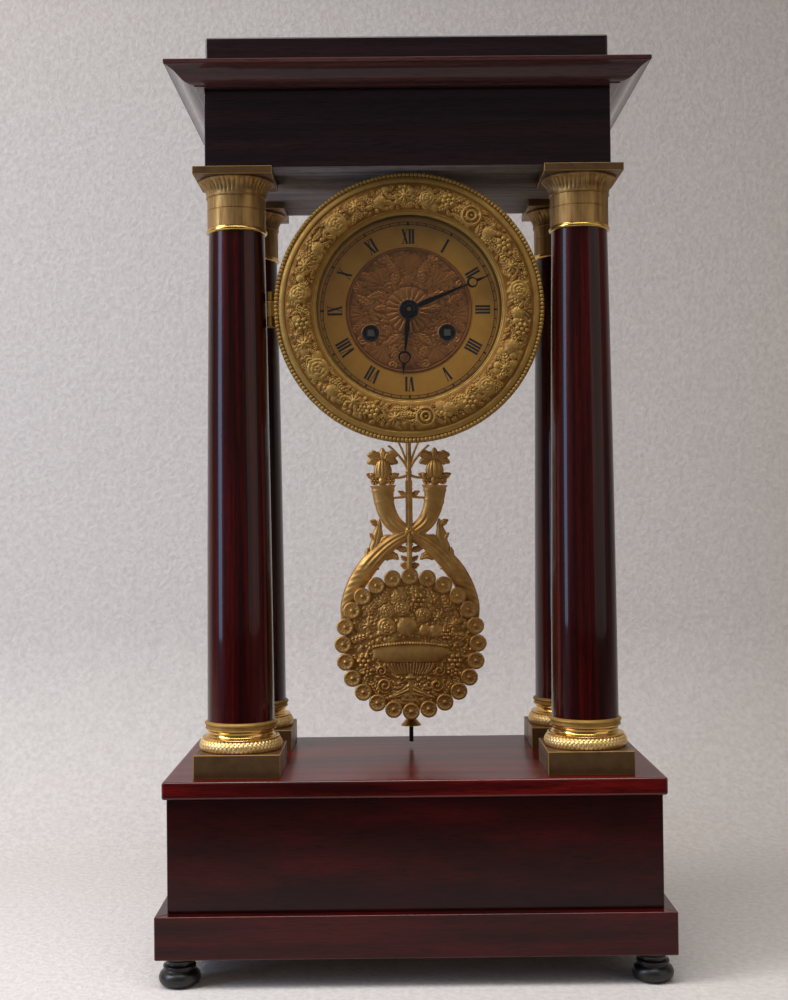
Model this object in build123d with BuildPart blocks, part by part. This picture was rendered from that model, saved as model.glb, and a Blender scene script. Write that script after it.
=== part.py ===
from build123d import *
import math
import os

# Portico mantel clock with a pendulum, a striking movement and a hinged bezel.
# Lengths are millimetres. The origin is on the floor under the middle of the clock, X points to the
# right of someone who faces the dial, Y to the back and Z up.

# Feet and base
foot_height = 15.0
foot_radius = 10.5
foot_pad_radius = 7.2
foot_neck_radius = 8.0
foot_neck_height = 4.0
foot_inset = 11.0
base_width = 248.5
base_depth = 132.5
base_height = 57.0
base_board = 12.0
plinth_height = 21.5
plinth_overhang = 5.75
plinth_board = 20.0
bottom_board_thickness = 6.0
top_thickness = 9.0
top_overhang = 2.25
top_round = 1.2
glue_line = 0.05

# Columns
column_x = 89.5
column_y = 39.5
block_side = 44.0
block_height = 12.0
column_base_height = 15.0
torus_inset = 0.6
torus_height = 6.5
torus_waist = 1.8
scotia_height = 4.0
scotia_depth = 1.6
base_ring_step = 0.95
shaft_height = 252.0
shaft_foot_radius = 17.3
shaft_neck_radius = 14.5
capital_height = 27.5
capital_neck_step = 0.6
capital_flare = 4.4
capital_flare_height = 6.5
capital_lip = 1.2
astragal_height = 2.6
astragal_step = 1.2
abacus_side = 40.5
abacus_height = 4.0
tie_rod_radius = 2.5
tie_rod_clearance = 0.5
tie_rod_end = 4.0
nut_radius = 4.6
nut_height = 4.0
thread_clearance = 0.05

# Entablature
frieze_width = 207.5
frieze_depth = 112.5
frieze_height = 40.0
frieze_board = 10.0
soffit_thickness = 9.0
cornice_height = 10.0
cornice_overhang = 18.0
cornice_soffit = 4.5
cornice_soffit_edge = 1.2
cornice_fillet = 2.4
cap_thickness = 17.0
cap_inset = 0.75
cap_round = 2.5

# Bezel, seat and glass
bezel_radius = 70.0
bezel_gap = 1.0
bezel_setback = 14.0
bezel_rim_width = 3.5
bezel_rim_depth = 5.75
bezel_band_outer = 64.5
bezel_band_inner = 51.7
bezel_band_depth = 9.0
bezel_ring_depth = 7.0
bezel_ring_slope = 1.5
bezel_edge = 0.6
sight_radius = 46.5
glass_radius = 49.5
glass_clearance = 0.1
glass_depth = 3.75
glass_thickness = 1.5
glass_ring_thickness = 1.3
glass_ring_width = 2.6
seat_gap = 0.25
seat_thickness = 3.0
seat_radius = 64.0
hinge_offset = 2.2
hinge_depth = 2.25
hinge_knuckle_radius = 1.6
hinge_knuckle_half = 4.0
hinge_knuckle_gap = 0.4
hinge_lug_length = 4.6
hinge_lug_gap = 0.4
hinge_pin_radius = 0.7
running_clearance = 0.05

# Drum, saddle and dial
drum_radius = 53.0
drum_wall = 1.5
drum_length = 55.0
drum_ledge_width = 3.5
drum_ledge_thickness = 1.5
saddle_width = 44.0
saddle_length = 40.0
saddle_start = 8.0
screw_radius = 1.8
screw_head_radius = 3.4
screw_head_height = 1.8
screw_depth = 9.0
screw_spacing = 24.0
screw_clearance = 0.1
dial_recess = 2.0
dial_thickness = 1.5
dial_clearance = 0.2
dial_centre_radius = 33.3
dial_centre_thickness = 0.6
dial_foot_radius = 1.5
dial_foot_circle = 42.0
winding_hole_radius = 4.0

# Plates
motion_space = 7.5
plate_thickness = 2.0
plate_gap = 36.0
plate_radius = 48.0
pillar_radius = 2.2
pillar_circle = 44.5
pillar_angles = (50, 105, 195, 270, 345)
pillar_pivot_radius = 1.4
arbor_radius = 1.0
pivot_radius = 0.6
end_shake = 0.3
wheel_thickness = 1.0
pinion_margin = 1.0

# Teeth, as shares of the module, and of the pitch for widths
wheel_addendum = 1.2
wheel_dedendum = 0.9
pinion_addendum = 0.6
pinion_shoulder = 0.4
pinion_dedendum = 1.45
wheel_tooth_share = 0.45
pinion_leaf_share = 0.40
shoulder_share = 0.75
tip_share = 0.35
rim_width = 1.6
hub_radius = 2.8
spoke_width = 1.5
spoke_count = 5

# Going train, from the barrel to the escape wheel
barrel_x = 20.0
barrel_z = -12.0
great_teeth = 76
great_module = 0.5
great_leaves = 12
intermediate_teeth = 72
intermediate_module = 0.45
centre_leaves = 12
centre_teeth = 96
centre_module = 0.34
third_leaves = 8
third_teeth = 72
third_module = 0.34
escape_leaves = 8
escape_teeth = 36
escape_radius = 10.5
escape_root = 8.9
escape_lean = 0.35
escape_gullet = 0.85
pallet_height = 32.5
pallet_distance = 14.0
pallet_clearance = 1.2
pallet_arm_width = 2.2
pallet_tooth = 3.0

# Strike train, from its barrel to the fly
second_angle = 125.0
second_teeth = 60
second_module = 0.4
pin_leaves = 8
pin_angle = 65.0
pin_teeth = 60
pin_module = 0.36
pin_count = 12
pin_circle = 8.6
pin_radius = 0.4
pin_length = 2.5
locking_leaves = 10
locking_angle = 55.0
locking_teeth = 54
locking_module = 0.34
fly_leaves = 8
fly_angle = 20.0
fly_reach = 6.0
fly_length = 11.0
fly_thickness = 0.5
count_wheel_radius = 13.0
count_wheel_thickness = 1.5
count_wheel_gap = 1.0
count_slot_depth = 2.2
count_slot_margin = 0.25
hammer_angle = 140.0
hammer_distance = 12.8
hammer_head_radius = 3.0
hammer_head_length = 6.0
hammer_rest_gap = 0.8
hammer_arm_radius = 1.0

# Barrels and their arbors
barrel_radius = 17.5
barrel_wall = 1.2
barrel_length = 18.0
barrel_arbor_radius = 2.4
barrel_arbor_clearance = 0.1
barrel_core_radius = 5.0
winding_square = 3.4
winding_reach = 0.6
ratchet_radius = 6.5
ratchet_teeth = 20
ratchet_root = 5.4
click_pivot_distance = 10.5
click_pivot_angle = 30.0
click_tip_angle = 75.0
click_lift = 0.5
click_radius = 2.2
click_stud_radius = 1.0
spring_inner_radius = 5.6
spring_turns = 7
spring_pitch = 1.3
spring_thickness = 0.5
spring_end_gap = 0.6

# Distances of the wheel layers behind the front plate
great_layer = 20.5
intermediate_layer = 23.5
centre_layer = 26.0
third_layer = 32.0
escape_layer = 6.0
locking_layer = 14.0

# Motion work and hands
cannon_leaves = 12
minute_teeth = 36
minute_module = 0.5
minute_leaves = 10
hour_teeth = 40
hour_module = 0.48
cannon_layer = 1.0
hour_layer = 3.3
motion_wheel_thickness = 1.3
cannon_bore_radius = 1.05
cannon_pipe_radius = 1.85
hour_bore_radius = 2.0
hour_pipe_radius = 2.8
minute_stud_radius = 0.8
dial_bore_clearance = 0.5
hand_thickness = 0.7
hour_hand_gap = 1.7
hand_gap = 1.1
minute_hand_length = 46.2
minute_moon_circle = 35.9
minute_moon_radius = 2.8
hour_hand_length = 34.1
hour_moon_circle = 24.9
hour_moon_radius = 3.3
hand_boss_radius = 5.0
hand_root_width = 1.9
hand_neck_width = 0.9
moon_wall = 0.9
hour_shown = 6
minute_shown = 11.26

# Bell, suspension and pendulum
bell_x = -18.0
bell_z = -2.0
bell_radius = 24.0
bell_depth = 14.0
bell_wall = 1.4
bell_behind_pendulum = 5.0
bell_post_radius = 2.0
bell_screw_radius = 1.2
pendulum_behind = 21.0
pendulum_length = 213.0
rod_width = 3.0
rod_depth = 2.0
rod_end_radius = 1.2
rod_tip_clearance = 2.6
loop_radius = 1.25
loop_thickness = 0.6
loop_width = 1.2
loop_length = 14.0
loop_pin_radius = 1.0
cock_width = 30.0
cock_thickness = 2.0
cock_gap = 5.0
cock_below = 3.0
cock_above = 5.5
cock_foot_width = 4.0
cock_arm_width = 5.0
cock_cheek = 1.5
cock_cheek_gap = 2.0
crutch_hub_radius = 2.2
crutch_hub_length = 2.5
crutch_hub_gap = 1.0
crutch_length = 46.0
crutch_wire_radius = 0.7
crutch_play = 0.15
bob_rosettes = 24
bob_rosette_circle = 38.4
bob_rosette_radius = 4.9
bob_disc_radius = 36.0
bob_thickness = 3.5
bob_rosette_proud = 0.5
bob_relief = 2.0
bob_hub_width = 12.0
bob_hub_height = 30.0
basket_rim = 21.0
basket_foot = 7.0
basket_depth = 17.0
flower_radius = 19.0
horn_thickness = 2.4
horn_gap = 0.1
horn_mouth = (14.5, 89.0)
horn_shoulder = (11.5, 77.0)
horn_crossing = (0.0, 62.9)
horn_belly = (-17.5, 46.0)
horn_tail = (-40.0, 21.5)
horn_mouth_half = 6.5
horn_shoulder_half = 5.4
horn_crossing_half = 4.0
horn_belly_half = 5.3
horn_tail_half = 3.4
stem_width = 4.0
stem_top = 116.0
bar_heights = (82.5, 94.5)
bar_half = 12.0
bar_width = 2.2
flower_height = 104.0
flower_half = 8.5
nut_top_gap = 0.4
rating_nut_radius = 5.9
rating_nut_neck = 3.0
rating_nut_height = 3.4

# Levels that follow from the sizes above
plinth_width = base_width + 2 * plinth_overhang
plinth_depth = base_depth + 2 * plinth_overhang
plinth_top = foot_height + plinth_height
base_top_z = plinth_top + base_height
slab_top = base_top_z + top_thickness
block_top = slab_top + block_height
shaft_bottom = block_top + column_base_height
capital_bottom = shaft_bottom + shaft_height
abacus_bottom = capital_bottom + capital_height
soffit_z = abacus_bottom + abacus_height
soffit_top = soffit_z + soffit_thickness
cornice_bottom = soffit_z + frieze_height
cap_bottom = cornice_bottom + cornice_height

dial_z = soffit_z - bezel_gap - bezel_radius
bezel_back = bezel_setback - frieze_depth / 2
rim_front = bezel_back - bezel_rim_depth
seat_front = bezel_back + seat_gap
drum_front = seat_front + seat_thickness
drum_back = drum_front + drum_length
drum_bore = drum_radius - drum_wall
dial_front = drum_front + dial_recess
dial_back = dial_front + dial_thickness
front_plate_front = dial_back + motion_space
front_plate_back = front_plate_front + plate_thickness
back_plate_front = front_plate_back + plate_gap
back_plate_back = back_plate_front + plate_thickness
pendulum_y = back_plate_back + pendulum_behind
rod_front = pendulum_y - rod_depth / 2
rod_back = pendulum_y + rod_depth / 2
pivot_z = dial_z + pallet_height
bob_z = pivot_z - pendulum_length
centre_front = dial_front - dial_centre_thickness
hour_hand_back = centre_front - hour_hand_gap + hand_thickness
minute_hand_back = hour_hand_back - hand_thickness - hand_gap
hinge_x = -bezel_radius - hinge_offset
hinge_y = bezel_back - hinge_depth
rod_hole = tie_rod_radius + tie_rod_clearance


def polar(centre, distance, angle):
    """The point at a distance and an angle in degrees from another, seen from the front."""
    turn = math.radians(angle)
    return (centre[0] + distance * math.cos(turn), centre[1] + distance * math.sin(turn))


def bearing(start, end):
    """The direction from one point to another in degrees."""
    return math.degrees(math.atan2(end[1] - start[1], end[0] - start[0]))


def reach(teeth, leaves, module):
    """The distance between the arbors of a wheel and a pinion."""
    return (teeth + leaves) * module / 2


def meet(first, first_distance, second, second_distance):
    """The point at known distances from two others, on the left of the line from first to second."""
    span = math.dist(first, second)
    along = (first_distance**2 - second_distance**2 + span**2) / (2 * span)
    across = math.sqrt(first_distance**2 - along**2)
    foot = polar(first, along, bearing(first, second))
    return polar(foot, across, bearing(first, second) + 90)


# Arbors, as seen from the front, from the middle of the dial
centre_spot = (0.0, 0.0)
going_spot = (barrel_x, barrel_z)
strike_spot = (-barrel_x, barrel_z)
pallet_spot = (0.0, pallet_height)
escape_spot = (0.0, pallet_height - pallet_distance)
intermediate_spot = meet(
    centre_spot,
    reach(intermediate_teeth, centre_leaves, intermediate_module),
    going_spot,
    reach(great_teeth, great_leaves, great_module),
)
third_spot = meet(
    centre_spot,
    reach(centre_teeth, third_leaves, centre_module),
    escape_spot,
    reach(third_teeth, escape_leaves, third_module),
)
second_spot = polar(strike_spot, reach(great_teeth, great_leaves, great_module), second_angle)
pin_spot = polar(second_spot, reach(second_teeth, pin_leaves, second_module), pin_angle)
locking_spot = polar(pin_spot, reach(pin_teeth, locking_leaves, pin_module), locking_angle)
fly_spot = polar(locking_spot, reach(locking_teeth, fly_leaves, locking_module), fly_angle)
hammer_spot = polar(pin_spot, hammer_distance, hammer_angle)
minute_spot = (0.0, reach(minute_teeth, cannon_leaves, minute_module))
bell_spot = (bell_x, bell_z)
dial_axis = Axis((0, 0, dial_z), (0, 1, 0))
clicks = {
    "going": (going_spot, click_pivot_angle, click_tip_angle),
    "strike": (strike_spot, 180 - click_pivot_angle, 180 - click_tip_angle),
}


def face_on(y, spot=centre_spot, turn=0.0):
    """A plane that faces the front at a depth, centred on an arbor, turned clockwise by an angle."""
    sway = math.radians(turn)
    return Plane(
        origin=(spot[0], y, dial_z + spot[1]),
        x_dir=(math.cos(sway), 0, -math.sin(sway)),
        z_dir=(0, -1, 0),
    )


def outline(count, phase, flank):
    """Points of a toothed rim, from one tooth's flank as radii and half angles."""
    points = []
    for tooth in range(count):
        middle = math.radians(phase) + 2 * math.pi * tooth / count
        points += [(r * math.cos(middle - a), r * math.sin(middle - a)) for r, a in flank]
        points += [(r * math.cos(middle + a), r * math.sin(middle + a)) for r, a in reversed(flank)]
    return points


def wheel_outline(teeth, module, leaves, phase):
    """A clock wheel: radial flanks inside the pitch circle and an epicycloid outside it."""
    pitch = teeth * module / 2
    roller = leaves * module / 4
    half = wheel_tooth_share * math.pi / teeth
    tip = pitch + wheel_addendum * module
    spread = pitch + roller
    roll = math.acos((spread**2 + roller**2 - tip**2) / (2 * roller * spread))
    travel = roll * roller / pitch
    x = spread * math.cos(travel) - roller * math.cos(travel + roll)
    z = spread * math.sin(travel) - roller * math.sin(travel + roll)
    flank = [(pitch - wheel_dedendum * module, half), (pitch, half), (tip, half - math.atan2(z, x))]
    return outline(teeth, phase, flank)


def pinion_outline(leaves, module, phase):
    """A clock pinion: radial leaves with rounded tips."""
    pitch = leaves * module / 2
    half = pinion_leaf_share * math.pi / leaves
    flank = [
        (pitch - pinion_dedendum * module, half),
        (pitch, half),
        (pitch + pinion_shoulder * module, half * shoulder_share),
        (pitch + pinion_addendum * module, half * tip_share),
    ]
    return outline(leaves, phase, flank)


def toothed(points, spot, front, back, bore=0.0):
    """A solid wheel or pinion between two depths."""
    with BuildPart() as blank:
        with BuildSketch(face_on(back, spot)):
            Polygon(*points, align=None)
            if bore:
                Circle(bore, mode=Mode.SUBTRACT)
        extrude(amount=back - front)
    return blank.part


def crossed(points, root, spot, front, back):
    """A wheel whose web is cut away between its spokes."""
    rim = root - rim_width
    with BuildPart() as blank:
        with BuildSketch(face_on(back, spot)):
            Polygon(*points, align=None)
            Circle(rim, mode=Mode.SUBTRACT)
            Circle(hub_radius)
            with PolarLocations(0, spoke_count):
                Rectangle(rim + rim_width / 2, spoke_width, align=(Align.MIN, Align.CENTER))
        extrude(amount=back - front)
    return blank.part


def turned(spot, steps):
    """A shaft along Y made of cylinders, each given as its front, its back and its radius."""
    with BuildPart() as shaft:
        for front, back, radius in steps:
            with BuildSketch(face_on(back, spot)):
                Circle(radius)
            extrude(amount=back - front)
    return shaft.part


def arbor(spot):
    """A plain arbor with a pivot in each plate."""
    return turned(
        spot,
        [
            (front_plate_front + end_shake, front_plate_back + end_shake, pivot_radius),
            (front_plate_back + end_shake, back_plate_front - end_shake, arbor_radius),
            (back_plate_front - end_shake, back_plate_back - end_shake, pivot_radius),
        ],
    )


def layer(distance):
    """Front and back of a wheel layer behind the front plate."""
    return front_plate_back + distance, front_plate_back + distance + wheel_thickness


def train_wheel(spot, teeth, module, leaves, mate, distance):
    """A crossed wheel with a tooth that points at its pinion's arbor."""
    front, back = layer(distance)
    points = wheel_outline(teeth, module, leaves, bearing(spot, mate))
    return crossed(points, teeth * module / 2 - wheel_dedendum * module, spot, front, back)


def train_pinion(spot, leaves, module, mate, distance):
    """A pinion with a gap that faces its wheel's arbor, longer than the wheel is thick."""
    front, back = layer(distance)
    points = pinion_outline(leaves, module, bearing(spot, mate) + 180 / leaves)
    return toothed(points, spot, front - pinion_margin, back + pinion_margin)


def mitred_frame(width, depth, board, bottom, height):
    """Four boards round a rectangle, mitred at the corners."""
    with BuildPart() as frame:
        with BuildSketch(Plane.XY.offset(bottom)):
            for long_half, far_half, turn in ((width / 2, depth / 2, 0), (depth / 2, width / 2, 90)):
                for side in (turn, turn + 180):
                    Polygon(
                        (glue_line - long_half, -far_half),
                        (long_half - glue_line, -far_half),
                        (long_half - glue_line - board, board - far_half),
                        (glue_line + board - long_half, board - far_half),
                        rotation=side,
                        align=None,
                    )
        extrude(amount=height)
    return frame.part


def save(piece, name):
    """Label a finished piece and write it."""
    piece.part.label = name
    export_step(piece.part, f"parts/{name}.step")


os.makedirs("parts", exist_ok=True)

# Turned feet under the corners of the plinth
foot_bulge_top = foot_height - foot_neck_height
with BuildPart() as foot:
    with BuildSketch(Plane.XZ):
        with BuildLine():
            Line((0, 0), (foot_pad_radius, 0))
            ThreePointArc(
                (foot_pad_radius, 0), (foot_radius, foot_bulge_top / 2), (foot_neck_radius, foot_bulge_top)
            )
            Polyline((foot_neck_radius, foot_bulge_top), (foot_neck_radius, foot_height), (0, foot_height))
            Line((0, foot_height), (0, 0))
        make_face()
    revolve(axis=Axis.Z)

with BuildPart() as bun_feet:
    with GridLocations(plinth_width - 2 * foot_inset, plinth_depth - 2 * foot_inset, 2, 2):
        add(foot.part)
save(bun_feet, "bun_feet")

# Base: plinth moulding, bottom board, carcass and top slab
with BuildPart() as base_plinth:
    add(mitred_frame(plinth_width, plinth_depth, plinth_board, foot_height, plinth_height))
save(base_plinth, "base_plinth")

with BuildPart() as bottom_board:
    with BuildSketch(Plane.XY.offset(plinth_top - bottom_board_thickness)):
        Rectangle(plinth_width - 2 * plinth_board, plinth_depth - 2 * plinth_board)
    extrude(amount=bottom_board_thickness)
save(bottom_board, "bottom_board")

with BuildPart() as base_carcass:
    add(mitred_frame(base_width, base_depth, base_board, plinth_top, base_height))
save(base_carcass, "base_carcass")

with BuildPart() as base_top:
    with BuildSketch(Plane.XY.offset(base_top_z)):
        Rectangle(base_width + 2 * top_overhang, base_depth + 2 * top_overhang)
    extrude(amount=top_thickness)
    fillet(base_top.faces().sort_by(Axis.Z)[-1].edges(), top_round)
    with BuildSketch(Plane.XY.offset(base_top_z)):
        with GridLocations(2 * column_x, 2 * column_y, 2, 2):
            Circle(rod_hole)
    extrude(amount=top_thickness, mode=Mode.SUBTRACT)
save(base_top, "base_top")


def square_tablet(side, bottom, height):
    """Four square tablets on the column axes, bored for the tie rods."""
    with BuildPart() as tablets:
        with BuildSketch(Plane.XY.offset(bottom)):
            with GridLocations(2 * column_x, 2 * column_y, 2, 2):
                Rectangle(side, side)
                Circle(rod_hole, mode=Mode.SUBTRACT)
        extrude(amount=height)
    return tablets.part


# Columns: block, base, shaft, capital and abacus on each tie rod
with BuildPart() as column_blocks:
    add(square_tablet(block_side, slab_top, block_height))
save(column_blocks, "column_blocks")

torus_radius = block_side / 2 - torus_inset
torus_edge = torus_radius - torus_waist
torus_top = block_top + torus_height
base_ring_radius = shaft_foot_radius + base_ring_step
scotia_top = torus_top + scotia_height
with BuildPart() as column_base:
    with BuildSketch(Plane.XZ):
        with BuildLine():
            Line((rod_hole, block_top), (torus_edge, block_top))
            ThreePointArc(
                (torus_edge, block_top), (torus_radius, block_top + torus_height / 2), (torus_edge, torus_top)
            )
            Line((torus_edge, torus_top), (base_ring_radius, torus_top))
            ThreePointArc(
                (base_ring_radius, torus_top),
                (base_ring_radius - scotia_depth, torus_top + scotia_height / 2),
                (base_ring_radius, scotia_top),
            )
            Polyline(
                (base_ring_radius, scotia_top), (base_ring_radius, shaft_bottom), (rod_hole, shaft_bottom)
            )
            Line((rod_hole, shaft_bottom), (rod_hole, block_top))
        make_face()
    revolve(axis=Axis.Z)

with BuildPart() as column_bases:
    with GridLocations(2 * column_x, 2 * column_y, 2, 2):
        add(column_base.part)
save(column_bases, "column_bases")

with BuildPart() as shaft:
    with BuildSketch(Plane.XZ):
        Polygon(
            (rod_hole, shaft_bottom),
            (shaft_foot_radius, shaft_bottom),
            (shaft_neck_radius, capital_bottom),
            (rod_hole, capital_bottom),
            align=None,
        )
    revolve(axis=Axis.Z)

with BuildPart() as column_shafts:
    with GridLocations(2 * column_x, 2 * column_y, 2, 2):
        add(shaft.part)
save(column_shafts, "column_shafts")

neck_radius = shaft_neck_radius + capital_neck_step
lip_radius = neck_radius + capital_flare
astragal_top = capital_bottom + astragal_height
flare_top = abacus_bottom - capital_lip
flare_bottom = flare_top - capital_flare_height
with BuildPart() as capital:
    with BuildSketch(Plane.XZ):
        with BuildLine():
            Line((rod_hole, capital_bottom), (neck_radius, capital_bottom))
            ThreePointArc(
                (neck_radius, capital_bottom),
                (shaft_neck_radius + astragal_step, capital_bottom + astragal_height / 2),
                (neck_radius, astragal_top),
            )
            Line((neck_radius, astragal_top), (neck_radius, flare_bottom))
            TangentArc((neck_radius, flare_bottom), (lip_radius, flare_top), tangent=(0, 1))
            Polyline((lip_radius, flare_top), (lip_radius, abacus_bottom), (rod_hole, abacus_bottom))
            Line((rod_hole, abacus_bottom), (rod_hole, capital_bottom))
        make_face()
    revolve(axis=Axis.Z)

with BuildPart() as column_capitals:
    with GridLocations(2 * column_x, 2 * column_y, 2, 2):
        add(capital.part)
save(column_capitals, "column_capitals")

with BuildPart() as column_abaci:
    add(square_tablet(abacus_side, abacus_bottom, abacus_height))
save(column_abaci, "column_abaci")

# Tie rods with a head above the soffit and a nut under the slab
rod_bottom = base_top_z - nut_height - tie_rod_end
with BuildPart() as tie_rods:
    with BuildSketch(Plane.XY.offset(rod_bottom)):
        with GridLocations(2 * column_x, 2 * column_y, 2, 2):
            Circle(tie_rod_radius)
    extrude(amount=soffit_top - rod_bottom)
    with BuildSketch(Plane.XY.offset(soffit_top)):
        with GridLocations(2 * column_x, 2 * column_y, 2, 2):
            RegularPolygon(nut_radius, 6, rotation=30)
    extrude(amount=nut_height)
    with BuildSketch(Plane.XY.offset(base_top_z - nut_height)):
        with GridLocations(2 * column_x, 2 * column_y, 2, 2):
            RegularPolygon(nut_radius, 6, rotation=30)
            Circle(tie_rod_radius + thread_clearance, mode=Mode.SUBTRACT)
    extrude(amount=nut_height)
save(tie_rods, "tie_rods")

# Entablature: soffit, frieze, cornice and cap
screw_ys = [drum_front + saddle_start + saddle_length / 2 + way * screw_spacing / 2 for way in (-1, 1)]
with BuildPart() as soffit_board:
    with BuildSketch(Plane.XY.offset(soffit_z)):
        Rectangle(frieze_width, frieze_depth)
        with GridLocations(2 * column_x, 2 * column_y, 2, 2):
            Circle(rod_hole, mode=Mode.SUBTRACT)
        with Locations(*[(saddle_width / 4, y) for y in screw_ys]):
            Circle(screw_radius + screw_clearance, mode=Mode.SUBTRACT)
    extrude(amount=soffit_thickness)
save(soffit_board, "soffit_board")

with BuildPart() as frieze_carcass:
    add(mitred_frame(frieze_width, frieze_depth, frieze_board, soffit_top, cap_bottom - soffit_top))
save(frieze_carcass, "frieze_carcass")


def cornice_run(half_length, half_offset):
    """One side of the cornice along X, with a cove under its top fillet, mitred at both ends."""
    wall = -half_offset
    edge = wall - cornice_overhang
    cove_bottom = cornice_bottom + cornice_soffit_edge
    cove_top = cap_bottom - cornice_fillet
    with BuildPart() as run:
        with BuildSketch(Plane.YZ):
            with BuildLine():
                Polyline(
                    (wall, cornice_bottom),
                    (wall - cornice_soffit, cornice_bottom),
                    (wall - cornice_soffit, cove_bottom),
                )
                TangentArc((wall - cornice_soffit, cove_bottom), (edge, cove_top), tangent=(0, 1))
                Polyline((edge, cove_top), (edge, cap_bottom), (wall, cap_bottom), (wall, cornice_bottom))
            make_face()
        extrude(amount=half_length + cornice_overhang, both=True)
        for side in (1, -1):
            mitre = Plane(origin=(side * (half_length - glue_line), wall, 0), z_dir=(side, 1, 0))
            split(bisect_by=mitre, keep=Keep.BOTTOM)
    return run.part


with BuildPart() as cornice:
    for half_length, half_offset, turn in (
        (frieze_width / 2, frieze_depth / 2, 0),
        (frieze_depth / 2, frieze_width / 2, 90),
    ):
        for side in (turn, turn + 180):
            add(cornice_run(half_length, half_offset).rotate(Axis.Z, side))
save(cornice, "cornice")

with BuildPart() as top_cap:
    with BuildSketch(Plane.XY.offset(cap_bottom)):
        Rectangle(frieze_width - 2 * cap_inset, frieze_depth - 2 * cap_inset)
    extrude(amount=cap_thickness)
    fillet(top_cap.faces().sort_by(Axis.Z)[-1].edges(), cap_round)
save(top_cap, "top_cap")

# Drum with an inner ledge for the dial, hung from the soffit by a saddle and screws
with BuildPart() as drum:
    with BuildSketch(Plane.XY.offset(dial_z)):
        Polygon(
            (drum_bore, drum_front),
            (drum_radius, drum_front),
            (drum_radius, drum_back),
            (drum_bore, drum_back),
            (drum_bore, dial_back + drum_ledge_thickness),
            (drum_bore - drum_ledge_width, dial_back + drum_ledge_thickness),
            (drum_bore - drum_ledge_width, dial_back),
            (drum_bore, dial_back),
            align=None,
        )
    revolve(axis=dial_axis)
    with BuildSketch(Plane.XY.offset(dial_z)):
        with Locations(*[(-saddle_width / 4, y) for y in screw_ys]):
            Circle(screw_radius + screw_clearance)
    extrude(amount=drum_radius, mode=Mode.SUBTRACT)
save(drum, "drum")

saddle_front = drum_front + saddle_start
with BuildPart() as drum_saddle:
    with BuildSketch(Plane.XY.offset(dial_z)):
        with Locations((0, saddle_front + saddle_length / 2)):
            Rectangle(saddle_width, saddle_length)
    extrude(amount=soffit_z - dial_z)
    with BuildSketch(face_on(saddle_front + saddle_length)):
        Circle(drum_radius)
    extrude(amount=saddle_length, mode=Mode.SUBTRACT)
    with BuildSketch(Plane.XY.offset(soffit_z - screw_depth)):
        with Locations(*[(saddle_width / 4, y) for y in screw_ys]):
            Circle(screw_radius + screw_clearance)
    extrude(amount=screw_depth, mode=Mode.SUBTRACT)
    with BuildSketch(Plane.XY.offset(dial_z)):
        with Locations(*[(-saddle_width / 4, y) for y in screw_ys]):
            Circle(screw_radius + screw_clearance)
    extrude(amount=drum_radius + screw_depth - drum_wall, mode=Mode.SUBTRACT)
save(drum_saddle, "drum_saddle")

# Two screws go down through the soffit, two go up from inside the drum
head_level = dial_z + math.sqrt(drum_bore**2 - (saddle_width / 4 + screw_head_radius) ** 2)
with BuildPart() as saddle_screws:
    with Locations(*[(saddle_width / 4, y, soffit_top) for y in screw_ys]):
        Cylinder(screw_head_radius, screw_head_height, align=(Align.CENTER, Align.CENTER, Align.MIN))
        Cylinder(
            screw_radius,
            soffit_thickness + screw_depth - screw_clearance,
            align=(Align.CENTER, Align.CENTER, Align.MAX),
        )
    with Locations(*[(-saddle_width / 4, y, head_level) for y in screw_ys]):
        Cylinder(screw_head_radius, screw_head_height, align=(Align.CENTER, Align.CENTER, Align.MAX))
        Cylinder(
            screw_radius,
            dial_z + drum_radius + screw_depth - drum_wall - screw_clearance - head_level,
            align=(Align.CENTER, Align.CENTER, Align.MIN),
        )
save(saddle_screws, "saddle_screws")

# Bezel seat in front of the drum, with the two fixed hinge knuckles
lug_inner = hinge_knuckle_half + hinge_knuckle_gap
lug_middle = lug_inner + hinge_lug_length / 2
pin_bore = hinge_pin_radius + running_clearance
with BuildPart() as bezel_seat:
    with BuildSketch(face_on(drum_front)):
        Circle(seat_radius)
        Circle(drum_bore, mode=Mode.SUBTRACT)
    extrude(amount=seat_thickness)
    for way in (-1, 1):
        with BuildSketch(Plane.XY.offset(dial_z + way * lug_middle)):
            with Locations((hinge_x, hinge_y)):
                Circle(hinge_knuckle_radius)
            Polygon(
                (hinge_x - hinge_knuckle_radius, hinge_y),
                (-bezel_radius - hinge_lug_gap, hinge_y),
                (-bezel_radius - hinge_lug_gap, seat_front),
                (-seat_radius + seat_thickness, seat_front),
                (-seat_radius + seat_thickness, drum_front),
                (hinge_x - hinge_knuckle_radius, drum_front),
                align=None,
            )
            with Locations((hinge_x, hinge_y)):
                Circle(pin_bore, mode=Mode.SUBTRACT)
        extrude(amount=hinge_lug_length / 2, both=True)
save(bezel_seat, "bezel_seat")

with BuildPart() as bezel_hinge_pin:
    with Locations((hinge_x, hinge_y, dial_z)):
        Cylinder(hinge_pin_radius, 2 * (lug_inner + hinge_lug_length))
save(bezel_hinge_pin, "bezel_hinge_pin")

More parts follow.
